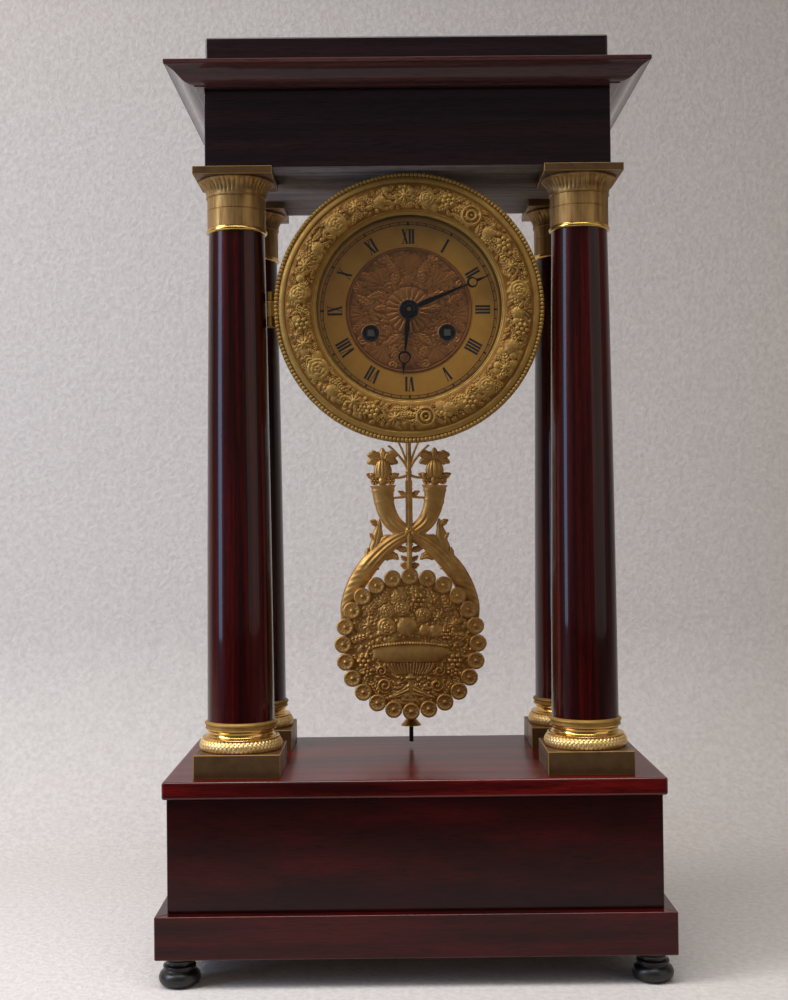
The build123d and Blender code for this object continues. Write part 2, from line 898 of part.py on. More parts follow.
# Bezel: knurled rim, raised band, stepped inner rings and the moving hinge knuckle
glass_front = bezel_back - glass_depth
glass_bore = glass_radius + glass_clearance
ring_front = bezel_back - bezel_ring_depth
rim_inner = bezel_radius - bezel_rim_width
band_middle = (bezel_band_inner + bezel_band_outer) / 2
with BuildPart() as bezel:
    with BuildSketch(Plane.XY.offset(dial_z)):
        with BuildLine():
            Polyline(
                (sight_radius, glass_front),
                (sight_radius, ring_front + bezel_ring_slope),
                (sight_radius + bezel_ring_slope, ring_front),
                (bezel_band_inner, ring_front),
            )
            ThreePointArc(
                (bezel_band_inner, ring_front),
                (band_middle, bezel_back - bezel_band_depth),
                (bezel_band_outer, rim_front),
            )
            Polyline(
                (bezel_band_outer, rim_front),
                (rim_inner, rim_front + bezel_edge),
                (rim_inner + bezel_edge, rim_front),
                (bezel_radius - bezel_edge, rim_front),
                (bezel_radius, rim_front + bezel_edge),
                (bezel_radius, bezel_back),
                (glass_bore, bezel_back),
                (glass_bore, glass_front),
                (sight_radius, glass_front),
            )
        make_face()
    revolve(axis=dial_axis)
    with BuildSketch(Plane.XY.offset(dial_z)):
        with Locations((hinge_x, hinge_y)):
            Circle(hinge_knuckle_radius)
            Rectangle(2 * bezel_rim_width, hinge_knuckle_radius, align=(Align.MIN, Align.CENTER))
    extrude(amount=hinge_knuckle_half, both=True)
    with BuildSketch(Plane.XY.offset(dial_z)):
        with Locations((hinge_x, hinge_y)):
            Circle(pin_bore)
    extrude(amount=hinge_knuckle_half, both=True, mode=Mode.SUBTRACT)
save(bezel, "bezel")

with BuildPart() as bezel_glass:
    with BuildSketch(face_on(glass_front + glass_thickness)):
        Circle(glass_radius)
    extrude(amount=glass_thickness)
save(bezel_glass, "bezel_glass")

with BuildPart() as glass_ring:
    with BuildSketch(face_on(glass_front + glass_thickness + glass_ring_thickness)):
        Circle(glass_bore)
        Circle(glass_bore - glass_ring_width, mode=Mode.SUBTRACT)
    extrude(amount=glass_ring_thickness)
save(glass_ring, "glass_ring")

# Dial plate with its three feet, and the applied dial centre
dial_bore = hour_pipe_radius + dial_bore_clearance
with BuildPart() as dial_plate:
    with BuildSketch(face_on(dial_back)):
        Circle(drum_bore - dial_clearance)
        Circle(dial_bore, mode=Mode.SUBTRACT)
        with Locations(going_spot, strike_spot):
            Circle(winding_hole_radius, mode=Mode.SUBTRACT)
    extrude(amount=dial_thickness)
    with BuildSketch(face_on(front_plate_front)):
        with PolarLocations(dial_foot_circle, 3, 90):
            Circle(dial_foot_radius)
    extrude(amount=motion_space)
save(dial_plate, "dial_plate")

with BuildPart() as dial_centre:
    with BuildSketch(face_on(dial_front)):
        Circle(dial_centre_radius)
        Circle(dial_bore, mode=Mode.SUBTRACT)
        with Locations(going_spot, strike_spot):
            Circle(winding_hole_radius, mode=Mode.SUBTRACT)
    extrude(amount=dial_centre_thickness)
save(dial_centre, "dial_centre")

# Plates with a pivot hole for every arbor, and the pillars between them
pivot_hole = pivot_radius + running_clearance
arbor_hole = arbor_radius + running_clearance
barrel_hole = barrel_arbor_radius + running_clearance
plain_spots = [intermediate_spot, third_spot, escape_spot, pin_spot, locking_spot, fly_spot]
pillar_spots = [polar(centre_spot, pillar_circle, angle) for angle in pillar_angles]


def plate(back, holes):
    """A round plate pierced by groups of equal holes."""
    with BuildPart() as pierced:
        with BuildSketch(face_on(back)):
            Circle(plate_radius)
            with Locations(*pillar_spots):
                Circle(pillar_pivot_radius, mode=Mode.SUBTRACT)
            for spots, radius in holes:
                with Locations(*spots):
                    Circle(radius, mode=Mode.SUBTRACT)
        extrude(amount=plate_thickness)
    return pierced.part


front_holes = [
    (plain_spots + [second_spot, pallet_spot, hammer_spot], pivot_hole),
    ([centre_spot], arbor_hole),
    ([going_spot, strike_spot], barrel_hole),
]
back_holes = [
    (plain_spots + [centre_spot], pivot_hole),
    ([second_spot, hammer_spot], arbor_hole),
    ([going_spot, strike_spot], barrel_hole),
    ([pallet_spot], crutch_hub_radius),
]
ratchet_front = front_plate_front - cannon_layer - motion_wheel_thickness
hour_wheel_back = front_plate_front - hour_layer
hour_wheel_front = hour_wheel_back - motion_wheel_thickness
with BuildPart() as front_plate:
    add(plate(front_plate_back, front_holes))
    add(turned(minute_spot, [(hour_wheel_front - pinion_margin, front_plate_front, minute_stud_radius)]))
    for spot, pivot_angle, tip_angle in clicks.values():
        stud = polar(spot, click_pivot_distance, pivot_angle)
        add(turned(stud, [(ratchet_front, front_plate_front, click_stud_radius)]))
save(front_plate, "front_plate")

with BuildPart() as back_plate:
    add(plate(back_plate_back, back_holes))
save(back_plate, "back_plate")

with BuildPart() as plate_pillars:
    for spot in pillar_spots:
        add(
            turned(
                spot,
                [
                    (front_plate_front, front_plate_back, pillar_pivot_radius),
                    (front_plate_back, back_plate_front, pillar_radius),
                    (back_plate_front, back_plate_back, pillar_pivot_radius),
                ],
            )
        )
save(plate_pillars, "plate_pillars")

# Barrels with their great wheels, mainsprings, winding arbors and clicks
great_front, great_back = layer(great_layer)
great_pinion_spots = {"going": intermediate_spot, "strike": second_spot}
barrel_front = great_front - barrel_length
arbor_bore = barrel_arbor_radius + barrel_arbor_clearance
spring_front = barrel_front + barrel_wall + spring_end_gap
spring_back = great_front - spring_end_gap


def barrel(spot, mate):
    """A drum closed by its great wheel, open only round its arbor."""
    points = wheel_outline(great_teeth, great_module, great_leaves, bearing(spot, mate))
    with BuildPart() as drum_wheel:
        add(toothed(points, spot, great_front, great_back, arbor_bore))
        with BuildSketch(face_on(great_front, spot)):
            Circle(barrel_radius)
            Circle(barrel_radius - barrel_wall, mode=Mode.SUBTRACT)
        extrude(amount=barrel_length)
        with BuildSketch(face_on(barrel_front + barrel_wall, spot)):
            Circle(barrel_radius)
            Circle(arbor_bore, mode=Mode.SUBTRACT)
        extrude(amount=barrel_wall)
    return drum_wheel.part


def mainspring(spot):
    """A flat spring wound in half turns about two centres half a pitch apart."""
    shift = spring_pitch / 2
    with BuildPart() as coil:
        with BuildSketch(face_on(spring_back, spot)):
            with BuildLine():
                for growth in (0, spring_thickness):
                    for turn in range(spring_turns):
                        r = spring_inner_radius + growth + turn * spring_pitch
                        ThreePointArc((r, 0), (0, r), (-r, 0))
                        ThreePointArc((-r, 0), (shift, -r - shift), (r + spring_pitch, 0))
                for turn in (0, spring_turns):
                    r = spring_inner_radius + turn * spring_pitch
                    Line((r, 0), (r + spring_thickness, 0))
            make_face()
        extrude(amount=spring_back - spring_front)
    return coil.part


def ratchet_outline():
    """Saw teeth of the ratchet wheel."""
    points = []
    for tooth in range(ratchet_teeth):
        points.append(polar(centre_spot, ratchet_radius, 360 * tooth / ratchet_teeth))
        points.append(polar(centre_spot, ratchet_root, 360 * (tooth + 1) / ratchet_teeth))
    return points


def winding_arbor(spot):
    """The barrel's arbor with its core, ratchet wheel and squared front end."""
    front = centre_front - winding_reach
    with BuildPart() as piece:
        add(
            turned(
                spot,
                [
                    (ratchet_front, barrel_front + barrel_wall + end_shake, barrel_arbor_radius),
                    (barrel_front + barrel_wall + end_shake, great_front - end_shake, barrel_core_radius),
                    (great_front - end_shake, back_plate_back - end_shake, barrel_arbor_radius),
                ],
            )
        )
        add(toothed(ratchet_outline(), spot, ratchet_front, front_plate_front - cannon_layer))
        with BuildSketch(face_on(ratchet_front, spot)):
            Rectangle(winding_square, winding_square)
        extrude(amount=ratchet_front - front)
    return piece.part


def click(spot, pivot_angle, tip_angle):
    """The pawl beside a ratchet wheel, turning on a stud of the front plate and lifted just clear."""
    pivot = polar(centre_spot, click_pivot_distance, pivot_angle)
    tip = polar(centre_spot, ratchet_radius + click_lift, tip_angle)
    outside = math.copysign(90, pivot_angle - 90)
    heel = polar(pivot, click_radius, bearing(pivot, tip) + outside)
    toe = polar(pivot, click_radius, bearing(pivot, tip) - outside)
    outward = polar(tip, click_lift, tip_angle)
    with BuildPart() as pawl:
        with BuildSketch(face_on(front_plate_front - cannon_layer, spot)):
            Polygon(heel, toe, tip, outward, align=None)
            with Locations(pivot):
                Circle(click_radius)
                Circle(click_stud_radius + running_clearance, mode=Mode.SUBTRACT)
        extrude(amount=motion_wheel_thickness)
    return pawl.part


for side, (spot, pivot_angle, tip_angle) in clicks.items():
    with BuildPart() as side_barrel:
        add(barrel(spot, great_pinion_spots[side]))
    save(side_barrel, f"{side}_barrel")
    with BuildPart() as side_spring:
        add(mainspring(spot))
    save(side_spring, f"{side}_mainspring")
    with BuildPart() as side_arbor:
        add(winding_arbor(spot))
    save(side_arbor, f"{side}_winding_arbor")
    with BuildPart() as side_click:
        add(click(spot, pivot_angle, tip_angle))
    save(side_click, f"{side}_click")

# Going train between the plates
with BuildPart() as intermediate_wheel:
    add(arbor(intermediate_spot))
    add(train_pinion(intermediate_spot, great_leaves, great_module, going_spot, great_layer))
    add(
        train_wheel(
            intermediate_spot,
            intermediate_teeth,
            intermediate_module,
            centre_leaves,
            centre_spot,
            intermediate_layer,
        )
    )
save(intermediate_wheel, "intermediate_wheel")

centre_arbor_front = minute_hand_back - 2 * hand_thickness - end_shake
with BuildPart() as centre_wheel:
    add(
        turned(
            centre_spot,
            [
                (centre_arbor_front, back_plate_front - end_shake, arbor_radius),
                (back_plate_front - end_shake, back_plate_back - end_shake, pivot_radius),
            ],
        )
    )
    add(train_pinion(centre_spot, centre_leaves, intermediate_module, intermediate_spot, intermediate_layer))
    add(train_wheel(centre_spot, centre_teeth, centre_module, third_leaves, third_spot, centre_layer))
save(centre_wheel, "centre_wheel")

with BuildPart() as third_wheel:
    add(arbor(third_spot))
    add(train_pinion(third_spot, third_leaves, centre_module, centre_spot, centre_layer))
    add(train_wheel(third_spot, third_teeth, third_module, escape_leaves, escape_spot, third_layer))
save(third_wheel, "third_wheel")

escape_front, escape_back = layer(escape_layer)
escape_step = 360 / escape_teeth
escape_points = []
for tooth in range(escape_teeth):
    escape_points.append(polar(centre_spot, escape_radius, (tooth + escape_lean) * escape_step))
    escape_points.append(polar(centre_spot, escape_root, (tooth + escape_gullet) * escape_step))
with BuildPart() as escape_wheel:
    add(arbor(escape_spot))
    add(train_pinion(escape_spot, escape_leaves, third_module, third_spot, third_layer))
    add(crossed(escape_points, escape_root, escape_spot, escape_front, escape_back))
save(escape_wheel, "escape_wheel")

# Pallet anchor over the escape wheel, with the crutch that grips the pendulum rod
pallet_span = math.degrees(math.acos(escape_radius / pallet_distance))
cock_front = back_plate_back + cock_gap
cock_back = cock_front + cock_thickness
crutch_front = back_plate_back + crutch_hub_gap
crutch_back = crutch_front + crutch_hub_length
crutch_y = (crutch_front + crutch_back) / 2
crutch_z = pivot_z - crutch_length
fork_half = rod_width / 2 + crutch_play + crutch_wire_radius
fork_front = rod_front - 3 * crutch_wire_radius
with BuildPart() as pallet_anchor:
    add(
        turned(
            pallet_spot,
            [
                (front_plate_front + end_shake, front_plate_back + end_shake, pivot_radius),
                (front_plate_back + end_shake, cock_front - end_shake, arbor_radius),
                (cock_front - end_shake, cock_back - end_shake, pivot_radius),
                (crutch_front, crutch_back, crutch_hub_radius - crutch_play),
            ],
        )
    )
    with BuildSketch(face_on(escape_back + wheel_thickness / 2, escape_spot)):
        with Locations((0, pallet_distance)):
            Circle(hub_radius)
        for way in (1, -1):
            bite = polar(centre_spot, escape_radius + pallet_clearance, 90 - way * pallet_span)
            horn = polar(bite, pallet_tooth, 90 - way * pallet_span)
            Polygon(
                (way * pallet_arm_width / 2, pallet_distance - hub_radius / 2),
                bite,
                horn,
                (way * pallet_arm_width / 2, pallet_distance + hub_radius / 2),
                align=None,
            )
    extrude(amount=2 * wheel_thickness)
    with Locations((0, crutch_y, pivot_z)):
        Cylinder(crutch_wire_radius, crutch_length, align=(Align.CENTER, Align.CENTER, Align.MAX))
    with Locations((0, crutch_y - crutch_wire_radius, crutch_z)):
        Box(
            2 * crutch_wire_radius,
            fork_front - crutch_y + 2 * crutch_wire_radius,
            2 * crutch_wire_radius,
            align=(Align.CENTER, Align.MIN, Align.CENTER),
        )
    with Locations((0, fork_front, crutch_z)):
        Box(2 * fork_half + 2 * crutch_wire_radius, 2 * crutch_wire_radius, 2 * crutch_wire_radius)
    for way in (-1, 1):
        with Locations((way * fork_half, fork_front, crutch_z)):
            Box(
                2 * crutch_wire_radius,
                rod_back + crutch_wire_radius - fork_front,
                2 * crutch_wire_radius,
                align=(Align.CENTER, Align.MIN, Align.CENTER),
            )
save(pallet_anchor, "pallet_anchor")

# Cock behind the back plate: it holds the pallet arbor's rear pivot and the pin for the silk loop
cheek_front = pendulum_y - cock_cheek_gap - cock_cheek
cheek_back = pendulum_y + cock_cheek_gap + cock_cheek
arm_bottom = pivot_z + loop_radius + 2 * loop_thickness
arm_top = pivot_z + cock_above
with BuildPart() as suspension_cock:
    with BuildSketch(face_on(cock_back, pallet_spot)):
        with Locations((0, (cock_above - cock_below) / 2)):
            Rectangle(cock_width, cock_above + cock_below)
        Circle(pivot_hole, mode=Mode.SUBTRACT)
    extrude(amount=cock_thickness)
    with BuildSketch(face_on(cock_front, pallet_spot)):
        with Locations((0, (cock_above - cock_below) / 2)):
            with GridLocations(cock_width - cock_foot_width, 0, 2, 1):
                Rectangle(cock_foot_width, cock_above + cock_below)
    extrude(amount=cock_gap)
    with Locations((0, (cock_back + cheek_back) / 2, (arm_bottom + arm_top) / 2)):
        Box(cock_arm_width, cheek_back - cock_back, arm_top - arm_bottom)
    for front in (cheek_front, cheek_back - cock_cheek):
        with Locations((0, front + cock_cheek / 2, (arm_top + pivot_z - cock_below) / 2)):
            Box(cock_arm_width, cock_cheek, arm_top - pivot_z + cock_below)
    with BuildSketch(face_on(cheek_back, pallet_spot)):
        Circle(loop_pin_radius)
    extrude(amount=cheek_back - cheek_front)
save(suspension_cock, "suspension_cock")

# Strike train between the plates, with the count wheel behind the back plate
count_front = back_plate_back + count_wheel_gap
count_back = count_front + count_wheel_thickness
with BuildPart() as strike_second_wheel:
    add(
        turned(
            second_spot,
            [
                (front_plate_front + end_shake, front_plate_back + end_shake, pivot_radius),
                (front_plate_back + end_shake, count_back + end_shake, arbor_radius),
            ],
        )
    )
    add(train_pinion(second_spot, great_leaves, great_module, strike_spot, great_layer))
    add(train_wheel(second_spot, second_teeth, second_module, pin_leaves, pin_spot, intermediate_layer))
save(strike_second_wheel, "strike_second_wheel")

# A wide slot follows each hour's blows and takes in the single blow of the half hour
count_blows = sum(hour + 1 for hour in range(1, 13))
count_slots = []
blows = 0
for hour in range(1, 13):
    count_slots.append((blows + hour - count_slot_margin, blows + hour + 1 + count_slot_margin))
    blows += hour + 1
with BuildPart() as count_wheel:
    with BuildSketch(face_on(count_back, second_spot)):
        Circle(count_wheel_radius)
        Circle(arbor_radius, mode=Mode.SUBTRACT)
        for start, end in count_slots:
            corners = []
            for blow, depth in ((start, 1), (start, -1), (end, -1), (end, 1)):
                radius = count_wheel_radius + depth * count_slot_depth
                corners.append(polar(centre_spot, radius, 360 * blow / count_blows))
            Polygon(*corners, align=None, mode=Mode.SUBTRACT)
    extrude(amount=count_wheel_thickness)
save(count_wheel, "count_wheel")

pin_front, pin_back = layer(centre_layer)
with BuildPart() as pin_wheel:
    add(arbor(pin_spot))
    add(train_pinion(pin_spot, pin_leaves, second_module, second_spot, intermediate_layer))
    add(train_wheel(pin_spot, pin_teeth, pin_module, locking_leaves, locking_spot, centre_layer))
    with BuildSketch(face_on(pin_back + pin_length, pin_spot)):
        with PolarLocations(pin_circle, pin_count):
            Circle(pin_radius)
    extrude(amount=pin_length + wheel_thickness)
save(pin_wheel, "pin_wheel")

with BuildPart() as locking_wheel:
    add(arbor(locking_spot))
    add(train_pinion(locking_spot, locking_leaves, pin_module, pin_spot, centre_layer))
    add(train_wheel(locking_spot, locking_teeth, locking_module, fly_leaves, fly_spot, locking_layer))
save(locking_wheel, "locking_wheel")

fly_front = layer(locking_layer)[1] + 2 * pinion_margin
with BuildPart() as fly:
    add(arbor(fly_spot))
    add(train_pinion(fly_spot, fly_leaves, locking_module, locking_spot, locking_layer))
    with BuildSketch(face_on(fly_front + fly_length, fly_spot)):
        Rectangle(2 * fly_reach, fly_thickness)
    extrude(amount=fly_length)
save(fly, "fly")

# Bell on its post, and the hammer that hangs beside its rim
bell_mouth = pendulum_y + bell_behind_pendulum
bell_crown = bell_mouth + bell_depth
bell_axis = Axis((bell_x, 0, dial_z + bell_z), (0, 1, 0))
bell_bore_x = bell_x + bell_screw_radius + thread_clearance
bell_shoulder_x = bell_x + bell_radius / 2
bell_rim_x = bell_x + bell_radius
with BuildPart() as bell:
    with BuildSketch(Plane.XY.offset(dial_z + bell_z)):
        with BuildLine():
            Line((bell_bore_x, bell_crown), (bell_shoulder_x, bell_crown))
            TangentArc((bell_shoulder_x, bell_crown), (bell_rim_x, bell_mouth), tangent=(1, 0))
            Line((bell_rim_x, bell_mouth), (bell_rim_x - bell_wall, bell_mouth))
            TangentArc(
                (bell_shoulder_x, bell_crown - bell_wall),
                (bell_rim_x - bell_wall, bell_mouth),
                tangent=(1, 0),
            )
            Polyline(
                (bell_shoulder_x, bell_crown - bell_wall),
                (bell_bore_x, bell_crown - bell_wall),
                (bell_bore_x, bell_crown),
            )
        make_face()
    revolve(axis=bell_axis)
save(bell, "bell")

with BuildPart() as bell_stand:
    add(
        turned(
            bell_spot,
            [
                (back_plate_back, bell_crown - bell_wall, bell_post_radius),
                (bell_crown - bell_wall, bell_crown + nut_height, bell_screw_radius),
            ],
        )
    )
    with BuildSketch(face_on(bell_crown + nut_height, bell_spot)):
        RegularPolygon(nut_radius, 6, rotation=30)
        Circle(bell_screw_radius + thread_clearance, mode=Mode.SUBTRACT)
    extrude(amount=nut_height)
save(bell_stand, "bell_stand")

hammer_y = bell_mouth + hammer_head_radius
hammer_head_x = bell_x - bell_radius - hammer_rest_gap
hammer_head_spot = (hammer_head_x - hammer_head_length / 2, bell_z)
tail_tip = polar(pin_spot, pin_circle + pin_radius + end_shake, bearing(pin_spot, hammer_spot))
with BuildPart() as hammer:
    add(
        turned(
            hammer_spot,
            [
                (front_plate_front + end_shake, front_plate_back + end_shake, pivot_radius),
                (front_plate_back + end_shake, hammer_y + hammer_arm_radius, arbor_radius),
            ],
        )
    )
    with BuildSketch(face_on(pin_back + pin_length, centre_spot)):
        Polygon(
            polar(hammer_spot, arbor_radius, bearing(hammer_spot, tail_tip) + 90),
            polar(hammer_spot, arbor_radius, bearing(hammer_spot, tail_tip) - 90),
            tail_tip,
            align=None,
        )
    extrude(amount=pin_length - end_shake)
    with BuildSketch(face_on(hammer_y + hammer_arm_radius, centre_spot)):
        arm_length = math.dist(hammer_spot, hammer_head_spot)
        with Locations(polar(hammer_spot, arm_length / 2, bearing(hammer_spot, hammer_head_spot))):
            SlotCenterToCenter(
                arm_length, 2 * hammer_arm_radius, rotation=bearing(hammer_spot, hammer_head_spot)
            )
    extrude(amount=2 * hammer_arm_radius)
    with BuildSketch(Plane.YZ.offset(hammer_head_x - hammer_head_length)):
        with Locations((hammer_y, dial_z + bell_z)):
            Circle(hammer_head_radius)
    extrude(amount=hammer_head_length)
save(hammer, "hammer")

# Motion work between the front plate and the dial
cannon_back = front_plate_front - cannon_layer
cannon_front = cannon_back - motion_wheel_thickness
minute_bearing = bearing(centre_spot, minute_spot)
with BuildPart() as cannon_pinion:
    points = pinion_outline(cannon_leaves, minute_module, minute_bearing + 180 / cannon_leaves)
    add(toothed(points, centre_spot, cannon_front - end_shake, cannon_back, cannon_bore_radius))
    with BuildSketch(face_on(cannon_front, centre_spot)):
        Circle(cannon_pipe_radius)
        Circle(cannon_bore_radius, mode=Mode.SUBTRACT)
    extrude(amount=cannon_front - minute_hand_back + hand_thickness)
save(cannon_pinion, "cannon_pinion")

with BuildPart() as minute_wheel:
    points = wheel_outline(minute_teeth, minute_module, cannon_leaves, minute_bearing + 180)
    add(toothed(points, minute_spot, cannon_front, cannon_back, minute_stud_radius + running_clearance))
    points = pinion_outline(minute_leaves, hour_module, minute_bearing + 180 + 180 / minute_leaves)
    add(
        toothed(
            points,
            minute_spot,
            hour_wheel_front - end_shake,
            cannon_front,
            minute_stud_radius + running_clearance,
        )
    )
save(minute_wheel, "minute_wheel")

with BuildPart() as hour_wheel:
    points = wheel_outline(hour_teeth, hour_module, minute_leaves, minute_bearing)
    add(toothed(points, centre_spot, hour_wheel_front, hour_wheel_back, hour_bore_radius))
    with BuildSketch(face_on(hour_wheel_front, centre_spot)):
        Circle(hour_pipe_radius)
        Circle(hour_bore_radius, mode=Mode.SUBTRACT)
    extrude(amount=hour_wheel_front - hour_hand_back + hand_thickness)
save(hour_wheel, "hour_wheel")


def hand(back, turn, length, moon_circle, moon_radius, bore):
    """A tapering hand with a pierced moon near its tip, turned clockwise from twelve."""
    with BuildPart() as pointer:
        with BuildSketch(face_on(back, centre_spot, turn)):
            Circle(hand_boss_radius)
            Polygon(
                (-hand_root_width / 2, 0),
                (hand_root_width / 2, 0),
                (hand_neck_width / 2, moon_circle),
                (-hand_neck_width / 2, moon_circle),
                align=None,
            )
            with Locations((0, moon_circle)):
                Circle(moon_radius)
            Polygon(
                (-moon_radius / 2, moon_circle + moon_radius / 2),
                (moon_radius / 2, moon_circle + moon_radius / 2),
                (0, length),
                align=None,
            )
            with Locations((0, moon_circle + moon_wall / 2)):
                Circle(moon_radius - moon_wall, mode=Mode.SUBTRACT)
            Circle(bore, mode=Mode.SUBTRACT)
        extrude(amount=hand_thickness)
    return pointer.part


minute_turn = 6 * minute_shown
hour_turn = 30 * hour_shown + minute_turn / 12
with BuildPart() as minute_hand:
    add(
        hand(
            minute_hand_back,
            minute_turn,
            minute_hand_length,
            minute_moon_circle,
            minute_moon_radius,
            cannon_pipe_radius,
        )
    )
    with BuildSketch(face_on(minute_hand_back - hand_thickness, centre_spot)):
        Circle(hour_pipe_radius)
        Circle(cannon_bore_radius, mode=Mode.SUBTRACT)
    extrude(amount=hand_thickness)
save(minute_hand, "minute_hand")

with BuildPart() as hour_hand:
    add(
        hand(
            hour_hand_back,
            hour_turn,
            hour_hand_length,
            hour_moon_circle,
            hour_moon_radius,
            hour_pipe_radius,
        )
    )
save(hour_hand, "hour_hand")

# Pendulum: silk loop, rod, crossed horns, bob and rating nut
loop_bottom = pivot_z - loop_length
with BuildPart() as silk_suspension:
    with BuildSketch(Plane.XZ.offset(-pendulum_y - loop_width / 2)):
        with Locations((0, (pivot_z + loop_bottom) / 2)):
            SlotCenterToCenter(loop_length, 2 * (loop_radius + loop_thickness), rotation=90)
            SlotCenterToCenter(loop_length, 2 * loop_radius, rotation=90, mode=Mode.SUBTRACT)
    extrude(amount=loop_width)
save(silk_suspension, "silk_suspension")

fork_gap = loop_width / 2 + loop_thickness
fork_bottom = loop_bottom - loop_radius - 3 * loop_thickness
rod_tip = slab_top + rod_tip_clearance
bob_back = rod_front - horn_thickness - horn_gap
bob_bottom = bob_z - bob_rosette_circle - bob_rosette_radius
nut_top = bob_bottom - nut_top_gap
with BuildPart() as pendulum_rod:
    with BuildSketch(Plane.XY.offset(nut_top)):
        with Locations((0, pendulum_y)):
            Rectangle(rod_width, rod_depth)
    extrude(amount=fork_bottom - nut_top)
    with BuildSketch(Plane.XY.offset(rod_tip)):
        with Locations((0, pendulum_y)):
            Circle(rod_end_radius)
    extrude(amount=nut_top - rod_tip)
    with Locations((0, pendulum_y, fork_bottom)):
        Box(rod_width, 2 * (fork_gap + cock_cheek), 2 * loop_thickness)
    for way in (-1, 1):
        with Locations((0, pendulum_y + way * (fork_gap + cock_cheek / 2), fork_bottom)):
            Box(
                rod_width,
                cock_cheek,
                loop_bottom + 2 * loop_pin_radius - fork_bottom,
                align=(Align.CENTER, Align.CENTER, Align.MIN),
            )
    with BuildSketch(Plane.XZ.offset(-pendulum_y - fork_gap)):
        with Locations((0, loop_bottom)):
            Circle(loop_pin_radius)
    extrude(amount=2 * fork_gap)
save(pendulum_rod, "pendulum_rod")

horn_course = [
    (horn_mouth, horn_mouth_half),
    (horn_shoulder, horn_shoulder_half),
    (horn_crossing, horn_crossing_half),
    (horn_belly, horn_belly_half),
    (horn_tail, horn_tail_half),
]


def horn_edge(side):
    """Points along one edge of a horn, square to its course."""
    points = []
    for index, (place, half) in enumerate(horn_course):
        before = horn_course[max(index - 1, 0)][0]
        after = horn_course[min(index + 1, len(horn_course) - 1)][0]
        points.append(polar(place, half, bearing(before, after) + side))
    return points


with BuildPart() as pendulum_horns:
    with BuildSketch(face_on(rod_front, (0, bob_z - dial_z))) as horn_sketch:
        with BuildLine():
            near = Spline(*horn_edge(90))
            far = Spline(*horn_edge(-90))
            Line(near @ 0, far @ 0)
            Line(near @ 1, far @ 1)
        make_face()
        mirror(about=Plane.YZ)
        stem_bottom = horn_crossing[1] - horn_crossing_half
        with Locations((0, (stem_top + stem_bottom) / 2)):
            Rectangle(stem_width, stem_top - stem_bottom)
        for height in bar_heights:
            with Locations((0, height)):
                Rectangle(2 * bar_half, bar_width)
        with Locations((-horn_mouth[0], flower_height), (horn_mouth[0], flower_height)):
            Circle(flower_half)
        with Locations((0, flower_height + flower_half / 2)):
            Rectangle(2 * horn_mouth[0], bar_width)
        for way in (-1, 1):
            with Locations((way * horn_mouth[0], (horn_mouth[1] + flower_height) / 2)):
                Rectangle(2 * horn_mouth_half, flower_height - horn_mouth[1])
    extrude(amount=horn_thickness)
save(pendulum_horns, "pendulum_horns")

bob_front = bob_back - bob_thickness
with BuildPart() as pendulum_bob:
    with BuildSketch(face_on(bob_back, (0, bob_z - dial_z))):
        Circle(bob_disc_radius)
    extrude(amount=bob_thickness)
    with BuildSketch(face_on(bob_back, (0, bob_z - dial_z))):
        with PolarLocations(bob_rosette_circle, bob_rosettes, 90):
            Circle(bob_rosette_radius)
    extrude(amount=bob_thickness + bob_rosette_proud)
    with BuildSketch(face_on(bob_front, (0, bob_z - dial_z))):
        Polygon(
            (-basket_rim, 0),
            (basket_rim, 0),
            (basket_foot, -basket_depth),
            (-basket_foot, -basket_depth),
            align=None,
        )
        with Locations((0, flower_radius / 3)):
            Circle(flower_radius)
    extrude(amount=bob_relief)
    with BuildSketch(face_on(rod_front, (0, bob_z - dial_z))):
        Rectangle(bob_hub_width, bob_hub_height)
    extrude(amount=rod_front - bob_back)
save(pendulum_bob, "pendulum_bob")

nut_bottom = nut_top - rating_nut_height
with BuildPart() as rating_nut:
    with BuildSketch(Plane.XZ.offset(-pendulum_y)):
        Polygon(
            (rod_end_radius + running_clearance, nut_top),
            (rating_nut_neck, nut_top),
            (rating_nut_radius, nut_bottom),
            (rod_end_radius + running_clearance, nut_bottom),
            align=None,
        )
    revolve(axis=Axis((0, pendulum_y, 0), (0, 0, 1)))
save(rating_nut, "rating_nut")
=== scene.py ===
import math

import bpy
import numpy as np
from mathutils import Matrix, Vector


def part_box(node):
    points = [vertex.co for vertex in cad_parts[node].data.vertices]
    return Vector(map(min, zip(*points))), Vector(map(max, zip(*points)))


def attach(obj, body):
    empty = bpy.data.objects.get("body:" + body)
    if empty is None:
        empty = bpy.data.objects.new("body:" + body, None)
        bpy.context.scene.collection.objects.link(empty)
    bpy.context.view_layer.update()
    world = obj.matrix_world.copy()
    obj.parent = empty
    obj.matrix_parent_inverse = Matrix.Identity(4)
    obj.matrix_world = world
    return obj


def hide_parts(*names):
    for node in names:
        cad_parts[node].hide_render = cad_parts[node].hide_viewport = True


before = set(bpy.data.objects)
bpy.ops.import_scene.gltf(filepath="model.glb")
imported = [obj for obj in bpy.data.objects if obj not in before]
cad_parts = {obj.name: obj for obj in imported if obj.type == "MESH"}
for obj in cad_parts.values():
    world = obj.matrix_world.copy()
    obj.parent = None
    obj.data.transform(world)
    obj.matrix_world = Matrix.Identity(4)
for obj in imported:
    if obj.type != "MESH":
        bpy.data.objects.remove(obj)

bl_info = {
    "name": "Portico mantel clock",
    "version": (1, 0, 0),
    "blender": (4, 5, 0),
    "location": "View3D > Sidebar > Clock",
    "description": "Builds the visible model of a portico mantel clock round its CAD frame",
    "category": "Object",
}

# Lengths are millimetres in this script and become metres when a mesh is made. Patterns have their
# sizes in millimetres too, and their scale is in features per metre.
MM = 0.001
METRE = 1000.0


# Colours and materials


